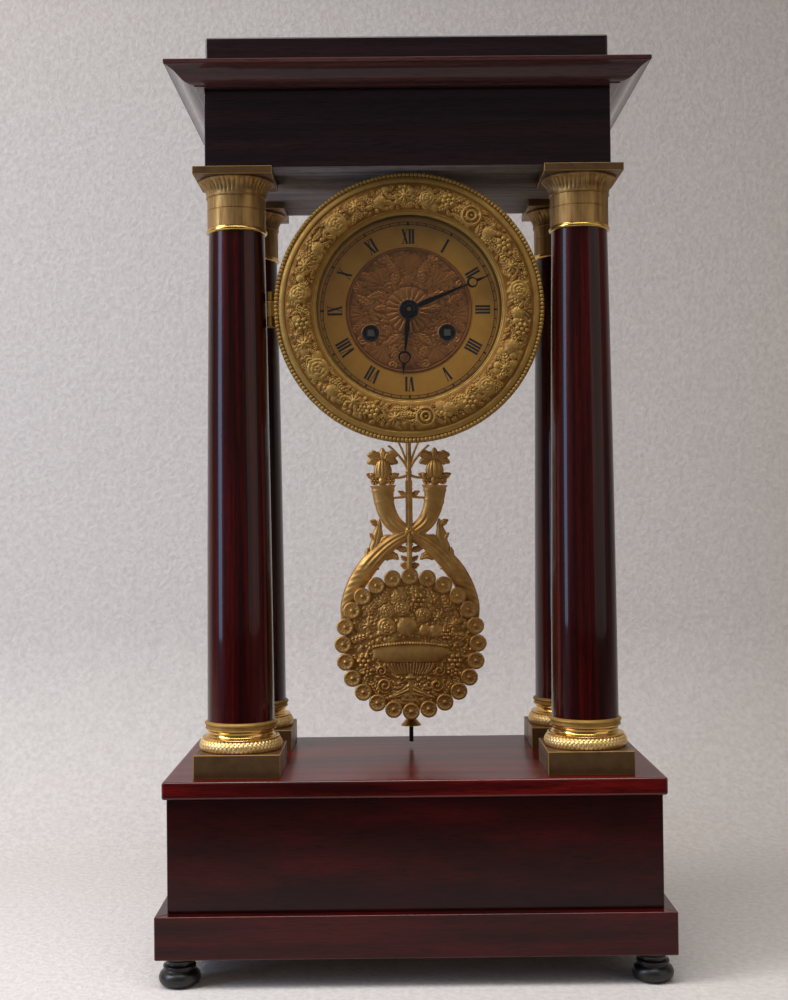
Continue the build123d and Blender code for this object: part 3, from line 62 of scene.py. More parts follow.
def srgb(code):
    """A hex colour as linear red, green, blue and alpha."""
    parts = [int(code[i : i + 2], 16) / 255 for i in (1, 3, 5)]
    return [p / 12.92 if p <= 0.04045 else ((p + 0.055) / 1.055) ** 2.4 for p in parts] + [1.0]


def add_node(tree, kind, inputs=None, stops=(), **settings):
    """Adds a node with its settings. An input given as a socket is linked, and any other value is set.
    A colour ramp also takes its stops, each a place and a colour."""
    made = tree.nodes.new(kind)
    for key, value in settings.items():
        setattr(made, key, value)
    for key, value in (inputs or {}).items():
        if isinstance(value, bpy.types.NodeSocket):
            tree.links.new(value, made.inputs[key])
        else:
            made.inputs[key].default_value = value
    for k, (place, tint) in enumerate(stops):
        elements = made.color_ramp.elements
        element = elements[k] if k < len(elements) else elements.new(place)
        element.position, element.color = place, srgb(tint) if isinstance(tint, str) else tint
    return made


def new_material(name):
    """A material without nodes, and its tree."""
    material = bpy.data.materials.new(name)
    material.use_nodes = True
    material.node_tree.nodes.clear()
    return material, material.node_tree


def cover(tree, inputs):
    """Puts a Principled shader with its inputs on the material's output."""
    shader = add_node(tree, "ShaderNodeBsdfPrincipled", inputs)
    add_node(tree, "ShaderNodeOutputMaterial", {"Surface": shader.outputs["BSDF"]})


def wood(name, along, stops, streak=5.0, run=220.0, coat=1.0, rough=0.28, gloss=1.36):
    """Polished wood with its grain along one axis of the clock: streaks of a width and a run, fine
    pores and a clear polish that waves a little. Gloss is the polish's IOR."""
    material, tree = new_material(name)
    place = add_node(tree, "ShaderNodeTexCoord").outputs["Object"]
    pore_width, pore_run, wave = 0.35, 9.0, 35.714

    def grain(across, lengthwise, detail, rough):
        scale = [METRE / (lengthwise if axis == along else across) for axis in "XYZ"]
        drawn = add_node(tree, "ShaderNodeMapping", {"Vector": place, "Scale": scale}).outputs["Vector"]
        inputs = {"Vector": drawn, "Scale": 1.0, "Detail": detail, "Roughness": rough}
        return {"Fac": add_node(tree, "ShaderNodeTexNoise", inputs).outputs["Fac"]}

    figure = add_node(tree, "ShaderNodeValToRGB", grain(streak, run, 4.0, 0.6), stops)
    pores = [(0.32, "#7a6a66"), (0.5, "#ffffff")]
    pored = add_node(tree, "ShaderNodeValToRGB", grain(pore_width, pore_run, 2.0, 0.55), pores)
    both = {"Factor": 0.75, "A": figure.outputs["Color"], "B": pored.outputs["Color"]}
    colour = add_node(tree, "ShaderNodeMix", both, data_type="RGBA", blend_type="MULTIPLY")
    slow = {"Vector": place, "Scale": METRE / wave, "Detail": 1.0, "Roughness": 0.55}
    height = add_node(tree, "ShaderNodeTexNoise", slow).outputs["Fac"]
    bump = add_node(tree, "ShaderNodeBump", {"Strength": 0.05, "Distance": 0.4 * MM, "Height": height})
    polish = {"Coat Weight": coat, "Coat Roughness": 0.05, "Coat IOR": gloss}
    polish.update({"Coat Normal": bump.outputs["Normal"], "Specular IOR Level": 0.12})
    cover(tree, {"Base Color": colour.outputs["Result"], "Roughness": rough, **polish})
    return material


def metal(name, high, low, rough, spot=6.0, hollow="#b89a6c", sheen=0.8, streak=1.0):
    """Metal in one of the colours from the settings, with painted shade in its hollows, where low
    relief darkens it towards the hollow colour. It is dulled to the low colour in spots of a size,
    drawn out upright by the streak, and smoother where it is bright."""
    bright = getattr(bpy.context.scene.clock_colours, high)
    material, tree = new_material(name)
    place = add_node(tree, "ShaderNodeTexCoord").outputs["Object"]
    drawn = add_node(tree, "ShaderNodeMapping", {"Vector": place, "Scale": [1.0, 1.0, 1 / streak]})
    spots = {"Vector": drawn.outputs["Vector"], "Scale": METRE / spot, "Detail": 5.0, "Roughness": 0.6}
    wear = add_node(tree, "ShaderNodeTexNoise", spots).outputs["Fac"]
    tone = add_node(tree, "ShaderNodeValToRGB", {"Fac": wear}, [(0.3, low), (0.62, bright)])
    # Painted shade: where the relief is low the colour is darkened towards the hollow colour
    relief = add_node(tree, "ShaderNodeAttribute", attribute_name="relief").outputs["Fac"]
    shade = add_node(tree, "ShaderNodeValToRGB", {"Fac": relief}, [(0.0, hollow), (0.6, "#ffffff")])
    both = {"Factor": 1.0, "A": tone.outputs["Color"], "B": shade.outputs["Color"]}
    colour = add_node(tree, "ShaderNodeMix", both, data_type="RGBA", blend_type="MULTIPLY")
    limits = {"From Min": 0.3, "From Max": 0.7, "To Min": rough * 1.25, "To Max": rough * 0.8}
    rubbed = add_node(tree, "ShaderNodeMapRange", {"Value": wear, **limits})
    looks = {"Base Color": colour.outputs["Result"], "Roughness": rubbed.outputs["Result"]}
    cover(tree, {**looks, "Metallic": sheen})
    return material


def plain(name, colour, rough, metallic=0.0, coat=0.0):
    """An even finish in one of the colours from the settings."""
    material, tree = new_material(name)
    shade = getattr(bpy.context.scene.clock_colours, colour)
    cover(tree, {"Base Color": shade, "Roughness": rough, "Metallic": metallic, "Coat Weight": coat})
    return material


def clear_glass(name):
    """Thin clear glass: light passes straight through and a little is mirrored."""
    material, tree = new_material(name)
    through = add_node(tree, "ShaderNodeBsdfTransparent", {"Color": srgb("#fbfcfa")})
    mirror = add_node(tree, "ShaderNodeBsdfGlossy", {"Color": srgb("#ffffff"), "Roughness": 0.02})
    sides = {"Fac": 0.035, 1: through.outputs["BSDF"], 2: mirror.outputs["BSDF"]}
    blend = add_node(tree, "ShaderNodeMixShader", sides).outputs["Shader"]
    add_node(tree, "ShaderNodeOutputMaterial", {"Surface": blend})
    return material


RED = [(0.30, "#2c0707"), (0.46, "#4a0b0b"), (0.60, "#681210"), (0.78, "#380808")]
DULL = [(0.30, "#240606"), (0.46, "#360909"), (0.60, "#460d0c"), (0.78, "#2a0707")]
RIBBON = [(0.30, "#180404"), (0.46, "#2c0606"), (0.60, "#490a09"), (0.78, "#1e0404")]
PANEL = [(0.30, "#200607"), (0.50, "#2e0809"), (0.70, "#400b0b")]
# Near black, which on the frieze is painted shade
DARK = [(0.30, "#170e10"), (0.50, "#241518"), (0.70, "#30191b")]
BROWN = [(0.30, "#3a2322"), (0.50, "#4c2d2b"), (0.70, "#5e3833")]
# Pale grey of the unpolished underside, lightened as painted light
PALE_GREY = [(0.3, "#5d5450"), (0.7, "#8a7f79")]
PINE = [(0.3, "#6f5233"), (0.7, "#92714a")]
# For each finish its maker, the name of the material and the maker's values
FINISHES = {
    # French-polished mahogany of the slab, bright red where the light falls on it
    "mahogany_x": (wood, "polished_mahogany_grain_x", "X", RED, 9.0, 160.0, 0.12),
    # The same, duller, on the plinth
    "plinth_x": (wood, "polished_mahogany_plinth_x", "X", DULL, 9.0, 160.0, 0.5),
    "plinth_y": (wood, "polished_mahogany_plinth_y", "Y", DULL, 9.0, 160.0, 0.5),
    # The rubbed arrises of the slab and the plinth, which shine because the polish is thick there
    "arris": (wood, "polished_mahogany_arris", "X", RED, 9.0, 160.0, 0.7, 0.28, 1.6),
    # Mahogany of the columns, with an upright ribbon figure under its polish
    "mahogany_z": (wood, "polished_mahogany_ribbon_grain", "Z", RIBBON, 4.0, 300.0, 0.6),
    # Darker veneer of the base, with a broad, clouded figure
    "panel_x": (wood, "polished_mahogany_veneer_x", "X", PANEL, 16.0, 90.0, 0.5),
    "panel_y": (wood, "polished_mahogany_veneer_y", "Y", PANEL, 16.0, 90.0, 0.5),
    # Veneer of the frieze and the cap, nearly black; on the frieze, in the cornice's shadow, the black
    # is painted shade
    "dark_x": (wood, "aged_mahogany_grain_x", "X", DARK),
    "dark_y": (wood, "aged_mahogany_grain_y", "Y", DARK),
    # Browned, duller cornice
    "brown_x": (wood, "browned_mahogany_grain_x", "X", BROWN, 5.0, 220.0, 0.6),
    "brown_y": (wood, "browned_mahogany_grain_y", "Y", BROWN),
    # Unpolished underside, grey, made paler as painted light because only bounced light reaches it
    "raw": (wood, "dusty_mahogany_underside", "X", PALE_GREY, 3.0, 90.0, 0.0, 0.7),
    # Sawn pine of the bottom board, pale and matt
    "pine": (wood, "sawn_pine", "X", PINE, 4.0, 160.0, 0.0, 0.6),
    # Blackened, waxed wood of the feet, with a soft shine
    "ebony": (plain, "ebonised_wood_waxed", "feet", 0.42, 0.0, 0.15),
    # Matt fire gilding of the bezel, with brown painted shade in its hollows
    "gilt": (metal, "matt_fire_gilt_bronze", "bezel", "#967238", 0.54, 6.0, "#d0b484", 0.55),
    # Satin gilding of the capitals, streaked by wiping
    "capital": (metal, "satin_gilt_capitals", "capitals", "#7c5c30", 0.5, 2.6, "#8a6a3e", 0.7, 9.0),
    # Bright gilding of the scaled column bases, with dark painted shade between the scales
    "bright": (metal, "bright_matt_gilding", "bases", "#dcb570", 0.4, 6.0, "#9a7a48", 0.8),
    # Burnished gilding on plain mouldings, which mirrors the light
    "burnished": (metal, "burnished_gilt_bronze", "mouldings", "#cfa455", 0.2, 6.0, "#b89a6c", 0.95),
    # Browner gilding of the pendulum
    "antique": (metal, "antique_gilt_bronze", "pendulum", "#ae8346", 0.45, 7.0, "#a88650", 0.62),
    # Aged brass plates under and over the columns, brown and satin
    "patina": (metal, "aged_brass_satin", "plates", "#5c442c", 0.42, 9.0),
    # Fine-grained gilding of the dial ring, even and matt
    "dial": (metal, "grained_gilt_dial", "dial", "#c28836", 0.5, 14.0, "#b89a6c", 0.58),
    # Chased, browned gilding of the dial centre, with copper-coloured painted shade in its hollows
    "chased": (metal, "chased_browned_gilding", "dial_centre", "#885426", 0.42, 8.0, "#96703f", 0.65),
    # Black wax in the engraving, dull; the same black lines the winding holes as painted shade
    "black_wax_and_hole_shade": (plain, "black_engraving_wax", "engraving", 0.75),
    # Blued steel of the hands, nearly black with a polish
    "blued": (plain, "blued_steel_polished", "hands", 0.3, 0.85),
    # Polished steel of the arbors, screws and tie rods
    "steel": (plain, "polished_steel", "steel", 0.3, 1.0),
    # Oiled, dark steel of the pendulum rod and the mainsprings
    "rod": (plain, "oiled_dark_steel", "rod", 0.4, 1.0),
    # Lacquered brass of the movement, clear and yellow
    "brass": (plain, "lacquered_movement_brass", "brass", 0.32, 1.0),
    # Satin gilding on turned metal
    "satin": (plain, "satin_gilt_bronze", "satin", 0.4, 1.0),
    # Turned bell bronze, paler than the brass
    "bell": (plain, "turned_bell_bronze", "bell", 0.25, 1.0),
    # Twisted silk thread, dull and cream
    "silk": (plain, "twisted_silk", "silk", 0.8),
    # Clear glass of the bezel
    "glass": (clear_glass, "clear_bezel_glass"),
}
MATERIALS = {}


def finish(key):
    """The material for a finish, made on first use."""
    if key not in MATERIALS:
        maker, *values = FINISHES[key]
        MATERIALS[key] = maker(*values)
    return MATERIALS[key]


# Meshes


class Shape:
    """Collects vertices in millimetres, faces, relief for each vertex, which the metal finishes turn
    into painted shade where it is low, and a finish for each face.
    """

    def __init__(self):
        self.points, self.relief, self.faces, self.slots, self.count = [], [], [], [], 0

    def add(self, points, faces, relief=1.0, slot=0):
        points = np.asarray(points, float).reshape(-1, 3)
        self.points.append(points)
        self.relief.append(np.broadcast_to(np.asarray(relief, float).ravel(), (len(points),)))
        self.faces += [tuple(int(i) + self.count for i in face) for face in faces]
        self.slots += [slot] * len(faces)
        self.count += len(points)

    def join(self, other, relief=None):
        """Adds another shape, with one relief value if that is given."""
        own = np.concatenate(other.relief) if relief is None else relief
        self.add(np.vstack(other.points), other.faces, own)

    def grid(self, points, relief=1.0, around=False, slot=0):
        """Adds a sheet of rows by columns of points, joined end to end if it goes around."""
        rows, columns = points.shape[:2]
        index = np.arange(rows * columns).reshape(rows, columns)
        if around:
            index = np.hstack([index, index[:, :1]])
        a, b, c, d = index[:-1, :-1], index[:-1, 1:], index[1:, 1:], index[1:, :-1]
        self.add(points, np.stack([a, b, c, d], -1).reshape(-1, 4), relief, slot)

    def turned(self, profile, segments=96, axis="Z", centre=(0, 0, 0), relief=1.0, slot=0):
        """Adds a profile of (radius, height) turned about an axis."""
        self.grid(spun(profile, segments, axis, centre), relief, True, slot)

    def prism(self, outline, bottom, top, slot=0):
        """Adds an upright prism from an outline of (x, y) corners."""
        n = len(outline)
        points = [(x, y, z) for z in (bottom, top) for x, y in outline]
        faces = [tuple(range(n))[::-1], tuple(range(n, 2 * n))]
        faces += [(i, (i + 1) % n, n + (i + 1) % n, n + i) for i in range(n)]
        self.add(points, faces, 1.0, slot)

    def copies(self, places):
        """The same shape at several (x, y, z) places."""
        made = Shape()
        points, relief = np.vstack(self.points), np.concatenate(self.relief)
        for place in places:
            made.faces += [tuple(i + made.count for i in face) for face in self.faces]
            made.slots += self.slots
            made.points.append(points + np.asarray(place, float))
            made.relief.append(relief)
            made.count += len(points)
        return made

    def move(self, place):
        """Shifts all points."""
        for points in self.points:
            points += place

    def mesh(self, name):
        """The mesh alone, in metres."""
        mesh = bpy.data.meshes.new(name)
        mesh.from_pydata((np.vstack(self.points) * MM).tolist(), [], self.faces)
        mesh.polygons.foreach_set("use_smooth", [True] * len(self.faces))
        return mesh

    def build(self, name, finishes, body, nodes, sharp=0.0, bevel=0.0, segments=3, edge_slot=-1):
        """Makes the object, gives it its finishes and lets it ride its body in place of the CAD nodes,
        or, where a node is given by its name alone, beside it."""
        mesh = self.mesh(name)
        heights = mesh.attributes.new("relief", "FLOAT", "POINT")
        heights.data.foreach_set("value", np.concatenate(self.relief))
        for key in finishes:
            mesh.materials.append(finish(key))
        mesh.polygons.foreach_set("material_index", self.slots)
        mesh.update()
        piece = bpy.data.objects.new(name, mesh)
        bpy.context.scene.collection.objects.link(piece)
        if bevel:
            rounding = piece.modifiers.new("edge rounding", "BEVEL")
            rounding.material = edge_slot
            rounding.width, rounding.segments, rounding.limit_method = bevel * MM, segments, "ANGLE"
            rounding.harden_normals = True
        if sharp:
            mesh.set_sharp_from_angle(angle=math.radians(sharp))
        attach(piece, body)
        if isinstance(nodes, list):
            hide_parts(*nodes)
        return piece


def box(node):
    """Lowest and highest corner of a CAD node, in millimetres."""
    low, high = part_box(node)
    return np.array(low) / MM, np.array(high) / MM


def full_turn(steps):
    """Angles once around, without the last that would repeat the first."""
    return np.linspace(0, 2 * math.pi, steps, endpoint=False)


def polar(radius, angle):
    """Two coordinates from a radius and an angle in degrees."""
    return radius * math.cos(math.radians(angle)), radius * math.sin(math.radians(angle))


def rings(radius, columns):
    """Two coordinates of points on rings of these radii, as rows by columns."""
    turn = full_turn(columns)
    return np.outer(radius, np.cos(turn)), np.outer(radius, np.sin(turn))


def spun(profile, segments=96, axis="Z", centre=(0, 0, 0)):
    """Points of a profile of (radius, height) turned about an axis, as rows by columns."""
    radius, height = np.asarray(profile, float).T
    across, up = rings(radius, segments)
    along = np.outer(height, np.ones(segments))
    points = np.stack([across, up, along] if axis == "Z" else [across, along, up], -1)
    return points + np.asarray(centre, float)


def arc(centre, radius, start, end, steps):
    """Points on an arc, its angles in degrees."""
    turn = np.radians(np.linspace(start, end, steps))
    return list(zip(centre[0] + radius * np.cos(turn), centre[1] + radius * np.sin(turn)))


def cut_sheet(loops, back, front, edge=0.12):
    """Vertices and faces of a sheet cut to loops of (x, z) points, its edges rounded."""
    curve = bpy.data.curves.new("outline", "CURVE")
    curve.dimensions, curve.fill_mode = "2D", "BOTH"
    curve.extrude, curve.bevel_depth, curve.offset = (back - front) / 2 - edge, edge, -edge
    curve.bevel_resolution = 2
    for loop in loops:
        spline = curve.splines.new("POLY")
        spline.points.add(len(loop) - 1)
        spline.points.foreach_set("co", [v for x, z in loop for v in (x, z, 0.0, 1.0)])
        spline.use_cyclic_u = True
    holder = bpy.data.objects.new("outline", curve)
    mesh = bpy.data.meshes.new_from_object(holder)
    flat = np.array([v.co for v in mesh.vertices])
    faces = [tuple(p.vertices) for p in mesh.polygons]
    points = np.stack([flat[:, 0], (back + front) / 2 - flat[:, 2], flat[:, 1]], -1)
    bpy.data.objects.remove(holder)
    bpy.data.curves.remove(curve)
    bpy.data.meshes.remove(mesh)
    return points, faces


# Relief ornament: each motif is a height from 0 to 1 over its own disc, u and v running from -1 to 1


def dome(d):
    return np.sqrt(np.clip(1 - d * d, 0, 1))


def rose(u, v):
    d, a = np.hypot(u, v), np.arctan2(v, u)
    ring = np.floor(d * 3)
    petals = 0.72 + 0.28 * np.abs(np.cos(2.5 * a + 0.9 * ring))
    lip = 0.75 + 0.25 * np.sin((d * 3 - ring) * math.pi)
    return dome(d) ** 0.6 * petals * lip


def daisy(u, v):
    d, a = np.hypot(u, v), np.arctan2(v, u)
    petals = np.sqrt(np.abs(np.cos(4 * a))) * np.clip(1.25 - d, 0, 1) * dome(d) ** 0.4
    return np.maximum(petals * 0.8, dome(d / 0.34))


def target(u, v):
    d = np.hypot(u, v)
    rings = 0.6 + 0.4 * np.cos(d * 2 * math.pi * 2.5)
    return dome(d) ** 0.4 * rings


def leaf(u, v):
    width = 0.46 * np.clip(1 - u * u, 0, 1) ** 0.8 * (1.1 - 0.35 * u) * (1 + 0.12 * np.cos(14 * u))
    inside = np.clip(1 - (v / np.maximum(width, 1e-6)) ** 2, 0, 1) * (width > 0.01)
    veins = 0.78 + 0.22 * np.cos(16 * (u - 0.7 * np.abs(v)))
    return inside**0.6 * veins * (1 - 0.45 * np.exp(-((v / 0.06) ** 2)))


def shell(u, v):
    d, a = np.hypot(u + 0.8, v), np.arctan2(v, u + 0.8)
    ribs = np.abs(np.cos(7.5 * a))
    fan = np.clip(1 - (a / 1.0) ** 6, 0, 1) * np.clip(1 - (d / (1.72 - 0.1 * ribs)) ** 8, 0, 1)
    return fan * (0.45 + 0.55 * ribs) * (0.35 + 0.65 * d / 1.7)


def berries(u, v):
    height = np.zeros_like(u)
    for x, y in [polar(0.62, 60 * k) for k in range(6)] + [(0.0, 0.0)]:
        height = np.maximum(height, dome(np.hypot(u - x, v - y) / 0.34))
    return height


def volute(u, v):
    d, a = np.hypot(u, v), np.arctan2(v, u)
    band = 0.5 + 0.5 * np.cos(2 * math.pi * 1.7 * d - a)
    return dome(d) ** 0.35 * np.clip(0.25 + 0.85 * band, 0, 1)


def fruit(u, v):
    d, a = np.hypot(u, v), np.arctan2(v, u)
    return dome(d) * (0.92 + 0.08 * np.cos(6 * a) * d)


MOTIFS = {f.__name__: f for f in (rose, daisy, target, leaf, shell, berries, volute, fruit)}


def carve(x, z, motifs, ground=None):
    """The height of a field of motifs (kind, x, z, radius, turn in degrees, lift) over points x, z."""
    height = np.zeros_like(x) if ground is None else ground
    for kind, cx, cz, radius, turn, lift in motifs:
        near = (np.abs(x - cx) < radius) & (np.abs(z - cz) < radius)
        c, s = polar(1.0, turn)
        u, v = (x[near] - cx) / radius, (z[near] - cz) / radius
        raised = lift * MOTIFS[kind](u * c + v * s, v * c - u * s)
        height[near] = np.maximum(height[near], raised)
    return height


def scatter(rng, inner, outer, taken, tries, sizes, kinds, lift, gap):
    """Fills the room left in a ring with small motifs that keep off one another."""
    placed = list(taken)
    for attempt in range(tries):
        size = sizes[0] + (sizes[1] - sizes[0]) * (1 - attempt / tries) * rng.random()
        angle, radius = rng.random() * 360, rng.uniform(inner + size * 0.7, outer - size * 0.7)
        x, z = polar(radius, angle)
        if all(math.hypot(x - m[1], z - m[2]) > gap * (size + m[3]) for m in placed):
            kind = kinds[int(rng.random() * len(kinds))]
            turn = angle + 90 + rng.uniform(-70, 70)
            stretch = 1.35 if kind == "leaf" else 1.0
            placed.append((kind, x, z, size * stretch, turn, lift * rng.uniform(0.6, 1)))
    return placed


# Settings


def length(name, description, value):
    return bpy.props.FloatProperty(
        name=name, description=description, default=value * MM, unit="LENGTH"
    )


def count(name, description, value):
    return bpy.props.IntProperty(name=name, description=description, default=value, min=1)


def colour(name, description, code):
    return bpy.props.FloatVectorProperty(
        name=name, description=description, default=srgb(code), size=4, min=0, max=1, subtype="COLOR"
    )


class ClockColourSettings(bpy.types.PropertyGroup):
    """Colours of the metals and of the other even finishes."""

    bezel: colour("Bezel", "Gilding of the bezel", "#ab8540")
    capitals: colour("Capitals", "Gilding of the capitals", "#aa8650")
    bases: colour("Column bases", "Gilding of the scaled column bases", "#f2d192")
    mouldings: colour("Mouldings", "Burnished gilding of the mouldings", "#e0ba70")
    pendulum: colour("Pendulum", "Gilding of the pendulum", "#d2a25a")
    plates: colour("Column plates", "Brass under and over the columns", "#7d5f3f")
    dial: colour("Dial ring", "Gilding of the dial ring", "#d69d42")
    dial_centre: colour("Dial centre", "Gilding of the dial centre", "#aa6e36")
    feet: colour("Feet", "Blackened wood of the feet", "#0d0908")
    engraving: colour("Engraving", "Wax in the dial's engraving", "#0a0807")
    hands: colour("Hands", "Blued steel of the hands", "#12131c")
    steel: colour("Steel", "Steel of the arbors, screws and tie rods", "#8d8c88")
    rod: colour("Rod", "Dark steel of the pendulum rod and the mainsprings", "#2b2826")
    brass: colour("Brass", "Brass of the movement", "#a98343")
    satin: colour("Satin gilding", "Gilding of the bezel seat and the rating nut", "#a5803e")
    bell: colour("Bell", "Bronze of the bell", "#9a8350")
    silk: colour("Silk", "Silk of the suspension", "#cfc6b0")


class ClockCaseSettings(bpy.types.PropertyGroup):
    """Edges and mouldings of the case."""

    board_edge: length("Board edge", "Rounding of the boards' edges", 0.5)
    slab_edge: length("Slab edge", "Rounding of the base slab's edges", 1.3)
    cap_edge: length("Cap edge", "Rounding of the top cap's edges", 1.2)
    cornice_fillet: length("Cornice fillet", "Height of the fillet along the top of the cornice", 2.6)
    cornice_soffit: length("Cornice soffit", "Depth of the flat under the cornice's cyma", 4.5)


class ClockColumnSettings(bpy.types.PropertyGroup):
    """Ornament of the columns."""

    torus_height: length("Torus height", "Height of the scaled torus at the foot of a column", 6.5)
    scale_depth: length("Scale depth", "Relief of the scales on the torus", 0.42)
    scales: count("Scales", "Number of scales round the torus", 56)
    scale_rows: count("Scale rows", "Rows of scales over the torus", 6)
    flutes: count("Flutes", "Number of flutes round the flare of a capital", 44)
    flute_depth: length("Flute depth", "Depth of those flutes", 0.55)


class ClockBezelSettings(bpy.types.PropertyGroup):
    """Ornament of the bezel."""

    beads: count("Beads", "Number of beads round the rim", 210)
    band_inner: length("Band start", "Inner radius of the floral band", 50.5)
    band_outer: length("Band end", "Outer radius of the floral band", 63.9)
    relief: length("Relief", "Height of the flowers on the band", 1.5)
    seed: count("Seed", "Seed of the scattered leaves and flowers", 7)


class ClockDialSettings(bpy.types.PropertyGroup):
    """Engraving and relief of the dial."""

    track_radius: length("Track radius", "Radius of the minute track's line", 45.7)
    numeral_foot: length("Numeral foot", "Radius at the feet of the numerals", 35.0)
    numeral_height: length("Numeral height", "Height of the numerals", 7.5)
    relief: length("Relief", "Height of the ornament in the dial centre", 0.55)
    seed: count("Seed", "Seed of the scattered ornament", 11)


class ClockPendulumSettings(bpy.types.PropertyGroup):
    """Ornament of the pendulum."""

    rosettes: count("Rosettes", "Number of rosettes round the bob", 24)
    rosette_radius: length("Rosette radius", "Outer radius of a rosette", 4.9)
    relief: length("Relief", "Height of the basket and its flowers", 2.3)
    seed: count("Seed", "Seed of the scattered flowers", 5)


class ClockStageSettings(bpy.types.PropertyGroup):
    """Backdrop, lamps and camera."""

    wall_distance: length("Wall distance", "Distance of the backdrop behind the clock", 330.0)
    camera_distance: length("Camera distance", "Distance of the camera in front of the clock", 746.97)
    camera_height: length("Camera height", "Height of the camera above the floor", 233.56)
    lens: bpy.props.FloatProperty(
        name="Lens", description="Focal length", default=48.86, subtype="DISTANCE_CAMERA"
    )


def millimetres(settings, name):
    return getattr(settings, name) / MM


# Operators


class ClockOperator:
    """What every operator here shares."""

    bl_options = {"REGISTER", "UNDO"}

    def execute(self, context):
        self.make(context.scene)
        return {"FINISHED"}


def corners(low, high, inset=0.0):
    """The four (x, y) corners of a box, drawn in by an inset."""
    x0, y0, x1, y1 = low[0] + inset, low[1] + inset, high[0] - inset, high[1] - inset
    return [(x0, y0), (x1, y0), (x1, y1), (x0, y1)]


def four_boards(low, high, thickness, bottom, top):
    """Four mitred boards round a box, front and back in the first finish, sides in the second."""
    shape = Shape()
    outer, inner = corners(low, high), corners(low, high, thickness)
    for k in (0, 2, 3, 1):
        after = (k + 1) % 4
        shape.prism([outer[k], outer[after], inner[after], inner[k]], bottom, top, k % 2)
    return shape


def block(low, high):
    """A box between two corners."""
    shape = Shape()
    shape.prism(corners(low, high), low[2], high[2])
    return shape


def four_places(x, y):
    """Places that mirror one another to the left and right, front and back."""
    return [(a * x, b * y, 0) for a in (-1, 1) for b in (-1, 1)]


class CLOCK_OT_feet(ClockOperator, bpy.types.Operator):
    """Four turned feet under the plinth"""

    bl_idname = "clock.feet"
    bl_label = "Feet"

    def make(self, scene):
        high = box("bun_feet")[1]
        top, radius = high[2], 10.5
        profile = [(0, 0), (7.4, 0)] + arc((6.4, 4.1), 4.1, -75, 62, 14)
        profile += [(7.9, 8.2), (7.7, 8.6)] + arc((7.4, 9.7), 0.95, -70, 80, 8)
        profile += [(6.9, 10.9), (6.6, 11.6), (6.7, 12.6), (7.4, 13.4), (8.2, 13.8)]
        profile += [(8.4, top), (0, top)]
        foot = Shape()
        foot.turned(profile, 64)
        feet = foot.copies(four_places(high[0] - radius, high[1] - radius))
        feet.build("turned_feet", ["ebony"], "case", ["bun_feet"], 35)


class CLOCK_OT_base(ClockOperator, bpy.types.Operator):
    """Plinth, bottom board, carcass and slab of the base"""

    bl_idname = "clock.base"
    bl_label = "Base"

    def make(self, scene):
        case = scene.clock_case
        edge = millimetres(case, "board_edge")
        plinth_board, base_board = 20.0, 12.0
        low, high = box("base_plinth")
        plinth = four_boards(low, high, plinth_board, low[2], high[2])
        grains = ["plinth_x", "plinth_y", "arris"]
        plinth.build("plinth_boards", grains, "case", ["base_plinth"], 0, edge, 3, 2)
        low, high = box("base_carcass")
        carcass = four_boards(low, high, base_board, low[2], high[2])
        carcass.build("base_boards", ["panel_x", "panel_y"], "case", ["base_carcass"], 0, edge)
        slab = block(*box("base_top"))
        polish = ["mahogany_x", "arris"]
        slab.build("base_slab", polish, "case", ["base_top"], 0, millimetres(case, "slab_edge"), 4, 1)
        board = block(*box("bottom_board"))
        board.build("bottom_panel", ["pine"], "case", ["bottom_board"])


